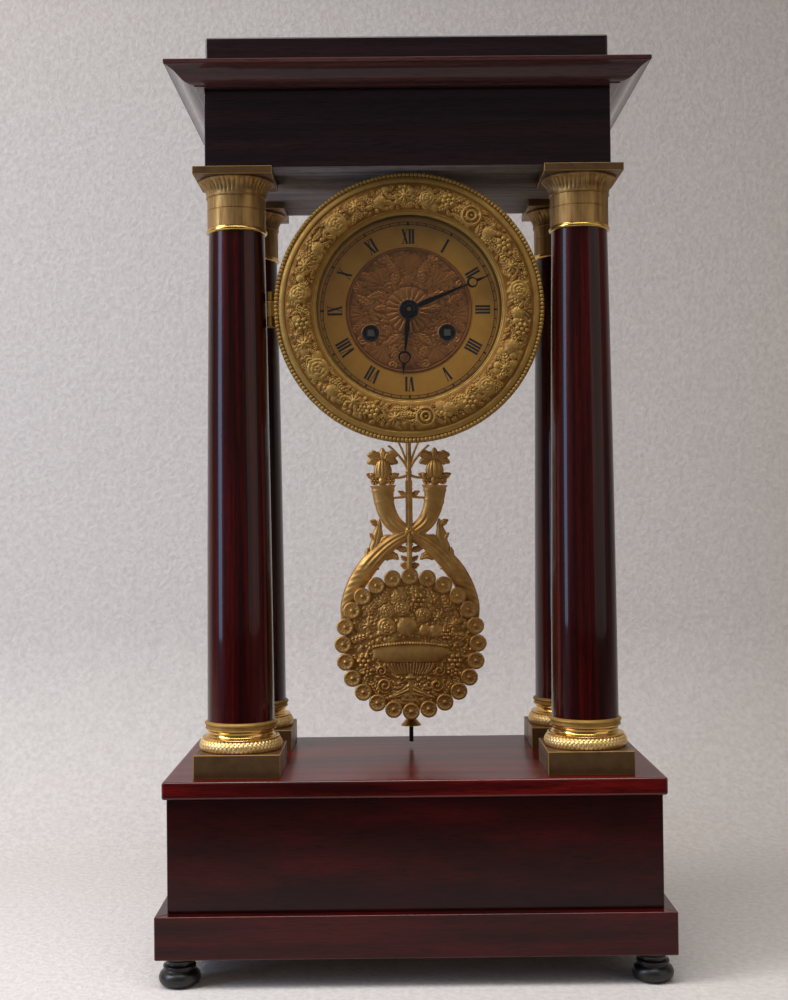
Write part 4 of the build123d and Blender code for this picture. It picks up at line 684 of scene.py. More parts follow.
class CLOCK_OT_columns(ClockOperator, bpy.types.Operator):
    """Blocks, bases, shafts, capitals and abaci of the four columns"""

    bl_idname = "clock.columns"
    bl_label = "Columns"

    shaft_radius = 17.3

    def make(self, scene):
        look = scene.clock_columns
        low, high = box("column_blocks")
        half = (high[0] - box("column_shafts")[1][0]) + self.shaft_radius
        x, y = high[0] - half, high[1] - half
        places = four_places(x, y)
        side = box("column_abaci")[1][0] - x
        for part, node, reach, edge in (
            ("column_plates_lower", "column_blocks", half, 0.4),
            ("column_plates_upper", "column_abaci", side, 0.3),
        ):
            low, high = box(node)
            plate = block((-reach, -reach, low[2]), (reach, reach, high[2]))
            plate.copies(places).build(part, ["patina", "gilt"], "case", [node], 0, edge, 3, 1)
        self.shafts(places)
        self.bases(look, places)
        self.capitals(look, places)

    def shafts(self, places):
        low, high = box("column_shafts")
        taper, swelling = 2.8, 0.35
        rise = np.linspace(0, 1, 24)
        radius = self.shaft_radius - taper * rise + swelling * np.sin(math.pi * rise)
        shaft = Shape()
        shaft.turned(list(zip(radius, low[2] + rise * (high[2] - low[2]))), 128)
        shaft.copies(places).build("column_shafts_polished", ["mahogany_z"], "case", ["column_shafts"])

    def bases(self, look, places):
        low, high = box("column_bases")
        height = millimetres(look, "torus_height")
        rows, scales, depth = look.scale_rows, look.scales, millimetres(look, "scale_depth")
        over = np.radians(np.linspace(-70, 84, 12 * rows))
        reach = 17.6 + 3.7 * np.cos(over) - 0.25 * np.sin(over)
        points = spun(list(zip(reach, low[2] + 2.9 + 3.6 * np.sin(over))), scales * 8)
        turn = np.linspace(0, scales, scales * 8, endpoint=False)[None, :]
        course = np.linspace(0, rows, len(over))[:, None]
        row = np.floor(course)
        up = course - row
        across = (turn + 0.5 * (row % 2)) % 1 - 0.5
        scale = np.clip(1 - (2 * across) ** 2 - 0.5 * up**2, 0, 1) * (0.55 + 0.45 * (1 - up))
        fade = np.clip(np.minimum(course, rows - course) * 1.6, 0, 1)
        rise = depth * (scale**0.5 - 0.35) * fade
        outward = points[..., :2] / np.linalg.norm(points[..., :2], axis=-1, keepdims=True)
        tilt = np.broadcast_to(np.sin(over)[:, None, None], outward.shape[:2] + (1,))
        outward = np.concatenate([outward * np.cos(over)[:, None, None], tilt], -1)
        torus = Shape()
        # The relief is low between the scales, which paints shade there
        torus.grid(points + outward * rise[..., None], 0.25 + 0.75 * scale**0.5, around=True)
        torus.copies(places).build("column_base_scaled_torus", ["bright"], "case", ["column_bases"])
        z, top = low[2] + height, high[2]
        hollow = [(19.6, z - 0.4), (19.9, z + 0.1), (19.5, z + 0.5), (18.6, z + 0.6)]
        for a in np.radians(np.linspace(-80, 80, 14)):
            hollow.append((17.0 + 1.5 * (1 - math.cos(a)), z + 2.4 + 1.8 * math.sin(a)))
        hollow += [(18.2, z + 4.5), (18.35, z + 4.8)]
        crown = [(17.9, z + 4.6), (18.1, z + 4.7), (18.1, z + 6.2)]
        crown += arc((17.9, z + 7.2), 0.85, -80, 80, 10) + [(17.6, top), (17.0, top)]
        mouldings = Shape()
        mouldings.turned(hollow)
        mouldings.turned(crown, slot=1)
        gildings = ["burnished", "gilt"]
        mouldings.copies(places).build("column_base_mouldings", gildings, "case", "column_bases", 50)

    def capitals(self, look, places):
        low, high = box("column_capitals")
        z, top = low[2], high[2]
        collar = [(14.6, z)] + arc((14.9, z + 1.2), 1.0, -80, 80, 10) + [(15.0, z + 2.5)]
        neck = [(15.0, z + 2.5)] + [(15.15, z + h) for h in (2.7, 2.9, 4.0, 7.0, 10.0, 11.2, 11.4)]
        neck += [(14.85, z + 11.6), (14.85, z + 12.0)]
        neck += [(15.15, z + h) for h in (12.2, 12.4, 14.0, 16.5, 18.0, 18.2)]
        neck += [(15.6, z + 18.4), (15.75, z + 18.9), (15.6, z + 19.4)]
        necks = Shape()
        necks.turned(collar, slot=1)
        necks.turned(neck)
        gildings = ["capital", "burnished"]
        necks.copies(places).build("column_capital_necks", gildings, "case", ["column_capitals"], 30)
        rise = np.linspace(0, 1, 20)
        flare = list(zip(15.5 + 4.0 * rise**2.1, z + 19.4 + rise * (top - z - 20.4)))
        flare += [(19.5, top - 0.6), (19.2, top)]
        points = spun(flare, look.flutes * 8)
        wave = np.abs(np.cos(np.linspace(0, look.flutes, look.flutes * 8, endpoint=False) * math.pi))
        strength = np.concatenate([np.clip(rise * 3, 0, 1) * np.clip((1.02 - rise) * 8, 0, 1), [0, 0]])
        hollow = strength[:, None] * (1 - wave[None, :] ** 0.7)
        mean_radius = 17.0
        points[..., :2] *= (1 - millimetres(look, "flute_depth") * hollow / mean_radius)[..., None]
        bell = Shape()
        # The relief is low in the flutes, which paints shade in them
        bell.grid(points, 1 - 0.8 * hollow, around=True)
        flares = bell.copies(places)
        flares.build("column_capital_fluted_flares", ["capital"], "case", "column_capitals")


class CLOCK_OT_entablature(ClockOperator, bpy.types.Operator):
    """Soffit, frieze, cornice and cap over the columns"""

    bl_idname = "clock.entablature"
    bl_label = "Entablature"

    def make(self, scene):
        case = scene.clock_case
        edge, cap_edge = millimetres(case, "board_edge"), millimetres(case, "cap_edge")
        frieze_board, joint, gap = 10.0, 0.02, np.array([0.4, 0.4, 0])
        soffit_low, soffit_high = box("soffit_board")
        low, high = box("frieze_carcass")
        frieze = four_boards(low, high, frieze_board, soffit_low[2] + joint, high[2])
        frieze.build("frieze_boards", ["dark_x", "dark_y"], "case", ["frieze_carcass"], 0, edge)
        panel = block(soffit_low + gap, soffit_high - gap)
        panel.build("soffit_panel", ["raw"], "case", ["soffit_board"])
        block(*box("top_cap")).build("top_cap_board", ["dark_x"], "case", ["top_cap"], 0, cap_edge, 4)
        self.cornice(case, high)

    def cornice(self, case, wall):
        low, high = box("cornice")
        bottom, top, out = low[2], high[2], high[0] - wall[0]
        step, fillet = millimetres(case, "cornice_soffit"), millimetres(case, "cornice_fillet")
        run, climb = out - step - 0.8, top - fillet - bottom - 0.5
        profile = [(0, bottom), (step - 0.3, bottom), (step, bottom + 0.2), (step, bottom + 0.5)]
        for t in np.linspace(0, 1, 24):
            bulge = 0.75 * math.sin(math.pi * t) + 0.65 * math.sin(2 * math.pi * t)
            profile.append((step + run * t + 0.45 * bulge, bottom + 0.5 + climb * t - 0.89 * bulge))
        profile += [(out - 0.3, top - fillet + 0.1), (out, top - fillet + 0.5), (out, top - 0.5)]
        profile += [(out - 0.5, top), (0, top)]
        away, level = np.array(profile).T
        signs = corners((-1, -1), (1, 1))
        x, y = wall[0] + away, wall[1] + away
        lines = [np.stack([cx * x, cy * y, level], -1) for cx, cy in signs]
        shape = Shape()
        for k in range(4):
            shape.grid(np.stack([lines[k], lines[(k + 1) % 4]], 1)[::-1], slot=k % 2)
        shape.build("cornice_moulding", ["brown_x", "brown_y"], "case", ["cornice"], 30)


# Flowers and fruit of the bezel: kind, angle in degrees, offset from the band's middle, radius
BEZEL_MOTIFS = [
    ("rose", 131, -0.5, 5.9), ("daisy", 118, 1.4, 4.9), ("fruit", 105, -1.1, 3.4),
    ("daisy", 92, 0.3, 5.2), ("rose", 80, -0.5, 4.2), ("berries", 69, 1.3, 4.2),
    ("target", 55, -0.3, 6.0), ("fruit", 42, -1.7, 3.6), ("berries", 33, 1.5, 4.4),
    ("daisy", 21, -0.7, 4.6), ("rose", 8, 0.1, 5.4), ("fruit", -4, -1.7, 3.2),
    ("berries", -12, 2.1, 4.0), ("fruit", -22, -0.7, 3.8), ("daisy", -33, 1.3, 4.4),
    ("rose", -46, -0.3, 4.9), ("berries", -58, 1.3, 4.2), ("fruit", -69, -1.1, 3.6),
    ("target", -82, 0.1, 5.8), ("daisy", -98, 0.7, 4.8), ("berries", -110, 0.1, 4.0),
    ("daisy", -121, -0.7, 4.4), ("fruit", -133, 1.5, 3.4), ("rose", -146, -0.3, 6.0),
    ("daisy", -161, 0.5, 4.6), ("berries", -171, -1.3, 4.0), ("rose", 173, 0.1, 5.0),
    ("daisy", 158, 0.3, 4.8), ("fruit", 147, -1.3, 3.4),
]


class CLOCK_OT_bezel(ClockOperator, bpy.types.Operator):
    """Floral bezel with its beaded rim and its hinge knuckle"""

    bl_idname = "clock.bezel"
    bl_label = "Bezel"

    def make(self, scene):
        low, high = box("bezel")
        self.centre = np.array([0, 0, (low[2] + high[2]) / 2])
        self.ring(scene.clock_bezel, (high[2] - low[2]) / 2, high[1])
        pin_low, pin_high = box("bezel_hinge_pin")
        x, y = (pin_low[0] + pin_high[0]) / 2, (pin_low[1] + pin_high[1]) / 2
        level, half, joint = self.centre[2], 3.8, -68.8
        knuckle = Shape()
        barrel = [(0.75, -4.0), (1.45, -4.0), (1.6, -half), (1.6, half), (1.45, 4.0), (0.75, 4.0)]
        knuckle.turned(barrel + barrel[:1], 32, "Z", self.centre + (x, y, 0))
        flap = [(x + 1.3, y - 0.8), (joint, y - 0.8), (joint, y + 0.8), (x + 1.3, y + 0.8)]
        knuckle.prism(flap, level - half, level + half)
        knuckle.build("bezel_knuckle", ["gilt"], "bezel_door", "bezel", 35)

    def ring(self, look, radius, back):
        inner, outer = millimetres(look, "band_inner"), millimetres(look, "band_outer")
        bore, seat, glass = 48.0, 49.6, back - 3.75
        lead = [(bore, glass), (bore, -46.8), (48.06, -47.05), (48.2, -47.2), (48.35, -47.26)]
        lead += [(48.4, -47.15), (48.7, -47.15), (48.75, -47.3), (49.2, -47.45), (49.7, -47.6)]
        lead += [(49.9, -47.6), (49.95, -47.9)] + arc((50.2, -48.1), 0.25, 180, 330, 6)
        steps = np.linspace(0, 1, 72)
        band = [(inner + t * (outer - inner), -48.4 - 1.2 * math.sin(math.pi * t)) for t in steps]
        rim = [(64.1, -48.1), (64.3, -48.1), (64.5, -48.5), (65.4, -48.6), (66.5, -48.2)]
        rim += [(67.3, -47.6), (67.8, -47.0)]
        band_from, band_to = len(lead), len(lead) + len(band)
        bead_rows, bead_columns, bead_radius = 14, 8, 1.25
        beads_from, beads_to = band_to + len(rim), band_to + len(rim) + bead_rows
        middle = np.array([68.75, -46.9])
        rim += arc(middle, bead_radius, 165, 375, bead_rows)
        rim += [(radius, -46.0), (radius, back), (seat, back), (seat, glass), (bore, glass)]
        profile = np.array(lead + band + rim)
        columns = look.beads * bead_columns
        points = spun(profile, columns, "Y")
        relief = np.full(points.shape[:2], 1.0)

        motifs = []
        for kind, angle, offset, size in BEZEL_MOTIFS:
            motifs.append((kind, *polar((inner + outer) / 2 + offset, angle), size, angle, 1.0))
        rng = np.random.default_rng(look.seed)
        kinds = ("leaf", "leaf", "leaf", "leaf", "daisy", "fruit", "berries")
        motifs = scatter(rng, inner + 0.1, outer - 0.1, motifs, 5000, (1.1, 3.6), kinds, 0.8, 0.56)
        flowers = points[band_from:band_to]
        height = carve(flowers[..., 0], flowers[..., 2], motifs)
        height *= np.clip(np.minimum(steps, 1 - steps) * 14, 0, 1)[:, None]
        flowers[..., 1] -= millimetres(look, "relief") * height
        # The flowers' height is also their relief, so the ground between them gets painted shade
        relief[band_from:band_to] = np.clip(height * 1.15, 0, 1)

        # Each bead is the round of the rim, drawn in towards its middle between two beads
        wave = np.sqrt(np.abs(np.sin(np.arange(columns) * math.pi / bead_columns)))[None, :]
        size, turn = 0.5 + 0.5 * wave, full_turn(columns)
        beads, round_rim = points[beads_from:beads_to], profile[beads_from:beads_to] - middle
        away = middle[0] + round_rim[:, :1] * size
        beads[..., 0], beads[..., 2] = away * np.cos(turn), away * np.sin(turn)
        beads[..., 1] = middle[1] + round_rim[:, 1:] * size
        # Painted shade between the beads, and in the grooves round the band and before the beads
        relief[beads_from:beads_to] = 0.1 + 0.9 * wave
        grooves = [band_from - 8, band_from - 7, band_to, band_to + 1, beads_from - 1]
        relief[grooves] = 0.3
        ring = Shape()
        ring.grid(points + self.centre, relief, around=True)
        ring.build("bezel_floral_ring", ["gilt"], "bezel_door", ["bezel"], 60)


NUMERALS = ["XII", "I", "II", "III", "IIII", "V", "VI", "VII", "VIII", "IX", "X", "XI"]


def stroke(x0, x1, width):
    """A slanting stroke from its foot to its head, as four (across, up) corners with up from 0 to 1."""
    return [(x0 - width / 2, 0), (x0 + width / 2, 0), (x1 + width / 2, 1), (x1 - width / 2, 1)]


def serif(x, half, end):
    """A thin serif at the foot of a stroke, where end is 0, or at its head, where end is 1."""
    low, high = end - 0.018, end + 0.018
    return [(x - half, low), (x + half, low), (x + half, high), (x - half, high)]


def numeral_strokes(text):
    """Corners of the strokes of a roman numeral, centred across."""
    thick, thin, strokes, x = 1.1, 0.38, [], 0.0
    for sign in text:
        if sign == "I":
            strokes += [stroke(x + 0.75, x + 0.75, thick)]
            strokes += [serif(x + 0.75, 0.72, end) for end in (0, 1)]
            x += 1.55
        elif sign == "V":
            strokes += [stroke(x + 1.5, x + 0.65, thick), stroke(x + 1.75, x + 2.6, thin)]
            strokes += [serif(x + 0.65, 0.72, 1), serif(x + 2.6, 0.55, 1)]
            x += 3.2
        else:
            strokes += [stroke(x + 2.6, x + 0.65, thick), stroke(x + 0.65, x + 2.6, thin)]
            strokes += [serif(x + place, 0.7, end) for place in (0.65, 2.6) for end in (0, 1)]
            x += 3.25
    return [[(a - x / 2, b) for a, b in face] for face in strokes]


# Ornament of the dial centre's right half, mirrored to the left: kind, x, z, radius, turn in degrees
DIAL_MOTIFS = [
    ("leaf", 6.8, 17.6, 4.6, 100), ("leaf", 9.6, 23.4, 4.6, 60), ("volute", 13.6, 27.0, 3.0, 0),
    ("shell", 16.2, 16.2, 5.6, 45), ("leaf", 23.6, 18.0, 4.6, 20), ("volute", 27.6, 13.0, 2.8, 0),
    ("leaf", 17.4, 7.6, 4.4, -15), ("leaf", 24.6, 5.4, 4.8, 35), ("shell", 27.0, -2.6, 4.8, -6),
    ("leaf", 14.6, 1.0, 3.8, 0), ("leaf", 27.4, -9.6, 4.2, -50), ("volute", 24.6, -15.6, 3.0, 0),
    ("shell", 15.4, -22.6, 5.6, -56), ("leaf", 8.8, -15.8, 4.4, -40), ("leaf", 7.0, -23.6, 4.6, -110),
    ("leaf", 22.0, -21.0, 3.8, -80), ("volute", 8.6, -28.6, 2.6, 0),
]


class CLOCK_OT_dial(ClockOperator, bpy.types.Operator):
    """Gilt dial with its engraved track and numerals, and the relief in its middle"""

    bl_idname = "clock.dial"
    bl_label = "Dial"

    relief_radius = 33.0

    def make(self, scene):
        look = scene.clock_dial
        low, high = box("dial_centre")
        self.centre = np.array([0, 0, (low[2] + high[2]) / 2])
        self.front = high[1]
        low, high = box("going_winding_arbor")
        x, z = (low[0] + high[0]) / 2, (low[2] + high[2]) / 2 - self.centre[2]
        self.holes = [(x, z), (-x, z)]
        self.ring()
        self.engraving(look)
        self.relief(look)

    def ring(self):
        y, inner, plate = self.front, self.relief_radius, 1.5
        profile = [(inner, y + plate), (inner, y), (33.6, y), (33.7, y + 0.12), (33.9, y + 0.12)]
        profile += [(34.0, y), (45.6, y), (45.7, y + 0.15), (46.0, y + 0.15), (46.1, y)]
        profile += [(47.6, y - 0.1), (49.0, y - 0.5), (51.2, y - 0.5)]
        profile += [(51.2, y + plate), (inner, y + plate)]
        chapter = Shape()
        chapter.turned(profile, 240, "Y", self.centre)
        foot_circle, foot_radius, foot_end = 42, 1.5, 9.0
        for angle in (90, 210, 330):
            x, z = polar(foot_circle, angle)
            foot = [(foot_radius, y + plate), (foot_radius, y + foot_end)]
            chapter.turned(foot, 24, "Y", self.centre + (x, 0, z))
        chapter.build("dial_chapter_ring", ["dial"], "case", ["dial_plate"], 30)

    def engraving(self, look):
        y, spread = self.front - 0.03, 1.08
        cut = Shape()

        def quad(angle, face):
            """Adds a face of four (across, outward) corners at an angle, clockwise from the top."""
            side, out = polar(1.0, -angle), polar(1.0, 90 - angle)
            points = [(o * out[0] + s * side[0], y, o * out[1] + s * side[1]) for s, o in face]
            cut.add(points, [(0, 1, 2, 3)])

        track = millimetres(look, "track_radius")
        for radius, width in ((track - 0.75, 0.34), (track + 0.65, 0.3)):
            cut.turned([(radius - width / 2, y), (radius + width / 2, y)], 360, "Y")
        for minute in range(60):
            half, reach = 0.2, 0.7
            if minute % 5 == 0:
                half, reach = (0.4, 1.0) if minute % 15 else (0.5, 1.2)
            low, high = track - reach, track + reach
            quad(6 * minute, [(-half, low), (half, low), (half, high), (-half, high)])
        foot, tall = millimetres(look, "numeral_foot"), millimetres(look, "numeral_height")
        for hour, text in enumerate(NUMERALS):
            for face in numeral_strokes(text):
                quad(30 * hour, [(a * spread, foot + b * tall) for a, b in face])
        cut.move(self.centre)
        cut.build("dial_engraving", ["black_wax_and_hole_shade"], "case", "dial_plate")

    def relief(self, look):
        outer, inner, lift = self.relief_radius, 3.3, millimetres(look, "relief")
        columns = 720
        x, z = rings(np.linspace(inner, outer, 110), columns)
        motifs = []
        for kind, mx, mz, size, angle in DIAL_MOTIFS:
            motifs += [(kind, mx, mz, size, angle, 0.9), (kind, -mx, mz, size, 180 - angle, 0.9)]
        motifs += [("shell", 0, 24.0, 6.8, 90, 1.0), ("shell", 0, -24.5, 5.6, -90, 0.9)]
        motifs += [("fruit", 0, 16.0, 2.2, 0, 0.8)]
        rng = np.random.default_rng(look.seed)
        kinds = ("leaf", "leaf", "fruit", "volute")
        motifs = scatter(rng, 12.5, 31.0, motifs, 2600, (0.7, 2.0), kinds, 0.7, 0.62)
        height = carve(x, z, motifs, 0.12 * rng.random(x.shape))
        # A sunflower round the hands, a raised border, and a rim round each winding hole
        away = np.hypot(x, z)
        petal = np.abs(np.cos(10 * full_turn(columns)))[None, :] ** 0.5 * dome((away - 8.6) / 3.6)
        height = np.where(away < 12.2, np.maximum(petal, 0.9 * dome((away - 5.0) / 1.2)), height)
        height = np.where(away > 31.2, 0.5 * np.clip(1 - np.abs(away - 32.1) / 0.55, 0, 1), height)
        gaps = np.array([np.hypot(x - hx, z - hz) for hx, hz in self.holes])
        for gap in gaps:
            height = np.where(gap < 5.2, np.clip(1 - np.abs(gap - 4.6) / 0.5, 0, 1) * 0.9, height)
        ground, bore = self.front - 0.25, 4.1
        centre = Shape()
        points = np.stack([x, ground - lift * height, z], -1)
        # The relief follows the height, so the low ground between the ornament gets painted shade
        centre.grid(points + self.centre, np.clip(0.25 + height, 0, 1), around=True)
        mids = (np.vstack(centre.points) - self.centre)[np.array(centre.faces)].mean(1)
        clear = [np.hypot(mids[:, 0] - hx, mids[:, 2] - hz) > bore for hx, hz in self.holes]
        keep = np.flatnonzero(np.all(clear, 0))
        centre.faces = [centre.faces[i] for i in keep]
        centre.slots = [centre.slots[i] for i in keep]
        centre.turned([(outer, ground), (outer + 0.1, self.front)], 240, "Y", self.centre)
        # Each winding hole is lined with a collar in the black of the engraving: painted shade that
        # makes the hole look dark
        collar = [(4.7, -0.55), (4.3, -0.75), (4.0, -0.7), (4.0, 1.2), (2.5, 1.2)]
        for hx, hz in self.holes:
            centre.turned(collar, 48, "Y", self.centre + (hx, self.front, hz), 0.05, 1)
        centre.build("dial_relief_centre", ["chased", "black_wax_and_hole_shade"], "case", ["dial_centre"])


# For each hand: body, tip, height and radius of its ring, turn in degrees, radius of its boss
HANDS = {
    "minute_hand": ("minute_hand_work", 46.2, 35.9, 2.8, 67.56, 5.0),
    "hour_hand": ("hour_hand_work", 34.1, 24.9, 3.3, 185.63, 4.6),
}


class CLOCK_OT_hands(ClockOperator, bpy.types.Operator):
    """Blued steel hour and minute hands"""

    bl_idname = "clock.hands"
    bl_label = "Hands"

    def make(self, scene):
        low, high = box("dial_centre")
        middle = np.array([0, 0, (low[2] + high[2]) / 2])
        for node, (body, tip, moon, moon_radius, turn, boss) in HANDS.items():
            back = box(node)[1][1]
            front, rim = back - 0.7, 0.85
            under, over = moon - moon_radius + 0.2, moon + moon_radius - 0.3
            blade = [(-0.75, 3.0), (-1.35, 9.5), (-0.42, under)]
            blade += [(0.42, under), (1.35, 9.5), (0.75, 3.0)]
            disc = arc((0, moon), moon_radius, 0, 360, 48)[:-1]
            eye = arc((0, moon + 0.35), moon_radius - rim, 0, 360, 48)[:-1]
            head = [(-1.0, over), (1.0, over), (0.5, over + 3.3), (0.12, tip)]
            head += [(-0.12, tip), (-0.5, over + 3.3)]
            hand = Shape()
            for loops in ([blade], [disc, eye], [head]):
                hand.add(*cut_sheet(loops, back, front))
            hub = [(1.9, back), (boss, back), (boss, back - 0.6), (boss - 0.5, back - 0.95)]
            hand.turned(hub + [(2.4, back - 1.0), (1.9, back - 0.9)], 64, "Y")
            if node == "minute_hand":
                collet = [(3.0, back - 0.9), (2.9, back - 1.4), (2.3, back - 1.7), (1.05, back - 1.7)]
                hand.turned(collet, 48, "Y")
            c, s = polar(1.0, turn)
            spin = np.array([[c, 0, s], [0, 1, 0], [-s, 0, c]])
            for points in hand.points:
                points[:] = points @ spin.T + middle
            hand.build(node + "_blued", ["blued"], body, [node], 40)


# Ornament of the bob: kind, x, z, radius, turn in degrees, lift
BOB_MOTIFS = [
    ("fruit", -2, 9.7, 5.8, 0, 1.0), ("rose", 7.6, 16.4, 4.4, 0, 0.95),
    ("daisy", 16, 15.2, 4.6, 0, 0.9), ("rose", -4.6, 20, 4.6, 30, 0.9),
    ("rose", -13.4, 9.8, 5.4, 0, 0.95), ("daisy", -24, 11, 4.8, 0, 0.8),
    ("daisy", 24.6, 11.2, 4.4, 0, 0.85), ("berries", 5.4, 24.6, 4.6, 0, 0.8),
    ("rose", -6, 27, 4.2, 0, 0.75), ("leaf", -14.6, 27.4, 5.4, 70, 0.75),
    ("leaf", 2.6, 31.2, 5.0, 90, 0.7), ("leaf", 12, 28, 5.4, 110, 0.75),
    ("leaf", -21.4, 22.4, 5.6, 50, 0.75), ("leaf", 21.5, 22.8, 5.6, 130, 0.75),
    ("fruit", 14.6, 7.0, 4.2, 0, 0.9), ("fruit", 8.4, 7.4, 3.6, 0, 0.8),
    ("rose", -13, 18.6, 4.4, 0, 0.85), ("berries", 20.5, 5.2, 3.6, 0, 0.75),
    ("leaf", -29, 3.5, 5.6, 15, 0.7), ("leaf", 29, 3.5, 5.6, 165, 0.7),
    ("berries", -26.6, -9.6, 4.6, 0, 0.95), ("berries", -24.6, -15.6, 3.6, 20, 0.85),
    ("berries", 25.4, -9.8, 4.6, 0, 0.95), ("berries", 23.6, -15.8, 3.6, 20, 0.85),
    ("volute", -16.4, -15.4, 3.4, 0, 0.8), ("volute", 16.4, -15.4, 3.4, 180, 0.8),
    ("volute", -14.8, -23.6, 4.4, 0, 0.9), ("volute", 14.8, -23.6, 4.4, 180, 0.9),
    ("leaf", -20.6, -24.8, 4.6, 120, 0.75), ("leaf", 20.6, -24.8, 4.6, 60, 0.75),
    ("leaf", -26, -21, 4.6, 60, 0.7), ("leaf", 26, -21, 4.6, 120, 0.7),
    ("leaf", 0, -33.6, 4.4, -90, 0.7),
]
# Section of a rosette on the bob: radius, distance behind the bob's front, relief, whose low values
# give painted shade
ROSETTE = [
    (0, -1.6, 1.0), (0.7, -1.45, 1.0), (1.1, -0.9, 0.85), (1.25, -0.6, 0.6), (2.6, -0.5, 0.75),
    (3.1, -0.7, 0.9), (3.6, -0.95, 1.0), (4.1, -1.0, 1.0), (4.6, -0.8, 0.95),
]
# Course of a horn from its mouth to its tail, above the middle of the bob: x, z, half its width
HORN = [
    (14.9, 90.4, 6.8), (14.6, 83.5, 5.9), (13.0, 76.0, 5.4), (9.6, 69.4, 5.0), (4.6, 65.0, 4.4),
    (-1.5, 62.0, 4.0), (-8.2, 58.6, 4.2), (-14.2, 54.2, 4.6), (-19.8, 48.8, 5.2), (-25.0, 42.6, 5.6),
    (-29.6, 35.8, 5.4), (-33.4, 28.4, 4.8), (-36.4, 20.8, 3.6), (-38.0, 14.0, 1.6),
]
# Fruit in a horn's mouth: x from its middle, z, radius, kind
MOUTH_FRUIT = [
    (-4.6, 93.0, 2.5, "berries"), (4.6, 93.0, 2.5, "berries"), (0, 92.8, 2.9, "fruit"),
    (-2.4, 95.6, 1.9, "fruit"), (2.6, 95.6, 1.9, "fruit"), (-6.2, 96.2, 1.5, "fruit"),
    (6.2, 96.2, 1.5, "fruit"),
]
# Leaves in a horn's mouth: root from its middle, angle, length, curl
MOUTH_LEAVES = [
    ((0, 104.5), 90, 7.5, 0), ((-0.8, 105), 128, 9.0, 75), ((0.8, 105), 52, 9.0, -75),
    ((-1.2, 104), 160, 8.0, 60), ((1.2, 104), 20, 8.0, -60), ((-5.0, 94), 128, 5.5, 40),
    ((5.0, 94), 52, 5.5, -40),
]
# Leaves along a horn: root, angle, length, curl, width as a share of the length
HORN_LEAVES = [
    ((-23.0, 47.0), 66, 25.0, 22, 0.14), ((-17.6, 67.0), 132, 6.0, 30, 0.34),
    ((-19.8, 58.5), 112, 5.5, 25, 0.28), ((-17.0, 57.5), 48, 8.0, -35, 0.26),
    ((-11.0, 57.5), 62, 6.0, -30, 0.28), ((-17.5, 49.5), 8, 8.5, -30, 0.3),
    ((-12.0, 51.5), -18, 7.0, -35, 0.32), ((-25.0, 48.5), 70, 6.5, 20, 0.26),
    ((-22.5, 44.0), -2, 5.5, -40, 0.32),
]
# Wires from the stem to one side: radius and course
SPRAY = [
    (0.95, [(0.8, 84.5), (3.6, 83.6), (8.6, 83.2)]),
    (0.95, [(0.8, 96.4), (4.0, 95.0), (8.8, 94.6)]),
    (0.9, [(0.6, 97.5), (3.0, 104.0), (9.0, 111.0), (11.5, 112.6)]),
    (0.8, [(0.5, 97.5), (2.0, 106.0), (5.2, 114.0), (6.4, 116.0)]),
]


def smooth(knots, values, t):
    """A curve through values at knots, by cubic pieces that share their slopes."""
    slope = np.gradient(values, knots)
    i = np.clip(np.searchsorted(knots, t) - 1, 0, len(knots) - 2)
    gap = knots[i + 1] - knots[i]
    u = (t - knots[i]) / gap
    a, b, c, d = values[i], slope[i] * gap, values[i + 1], slope[i + 1] * gap
    start, leave = 2 * u**3 - 3 * u**2 + 1, u**3 - 2 * u**2 + u
    return a * start + b * leave + c * (1 - start) + d * (u**3 - u**2)


def basket(x, z):
    """Height of the bowl with its arched rim, its gadroons, its knob and its foot of two leaves."""
    arch = 2.0 * np.clip(1 - (x / 21.8) ** 2, 0, 1)
    depth = np.clip((-1.4 - z) / 9.2, 0, 1)
    wide = 22.2 - 1.0 * depth - 5.6 * depth**4
    body = np.clip(1 - (x / wide) ** 6, 0, 1) * (z < arch - 2.6) * (z > -10.6)
    height = body**0.5 * (0.66 + 0.34 * np.sin(np.clip((z + 10.6) / 9.2, 0, 1) * math.pi))
    rim = dome((z - arch + 1.7) / 1.2) * (np.abs(x) < 21.8)
    height = np.maximum(height, rim * (0.78 + 0.22 * np.abs(np.cos(x * math.pi / 1.5))))
    depth = np.clip((-10.8 - z) / 6.6, 0, 1)
    u = x / (13.6 - 4.4 * depth**2)
    lobes = (0.3 + 0.5 * np.abs(np.cos(7.5 * math.pi * u)) ** 0.7) * (1 - 0.45 * depth)
    height = np.maximum(height, lobes * (np.abs(u) < 1) * (z < -10.8) * (z > -17.4))
    height = np.maximum(height, 0.8 * dome(np.hypot(x / 3.2, (z + 19.4) / 1.4)))
    stem = (np.abs(x) < 1.6) * (z < -17.4) * (z > -31.4)
    height = np.maximum(height, 0.5 * stem * dome(x / 1.8))
    out = np.clip((np.abs(x) - 1.2) / 12.6, 0, 1)
    upper, lower = -22.4 - 8.2 * out**0.9, -29.8 - 1.6 * out
    v = (2 * z - upper - lower) / (upper - lower + 0.2)
    leaves = dome(v) * (0.55 + 0.15 * np.cos(3 * math.pi * v))
    height = np.maximum(height, leaves * (out > 0) * (out < 1))
    return np.maximum(height, 0.5 * (np.abs(x) < 5.2) * (np.abs(z + 32.0) < 0.7))


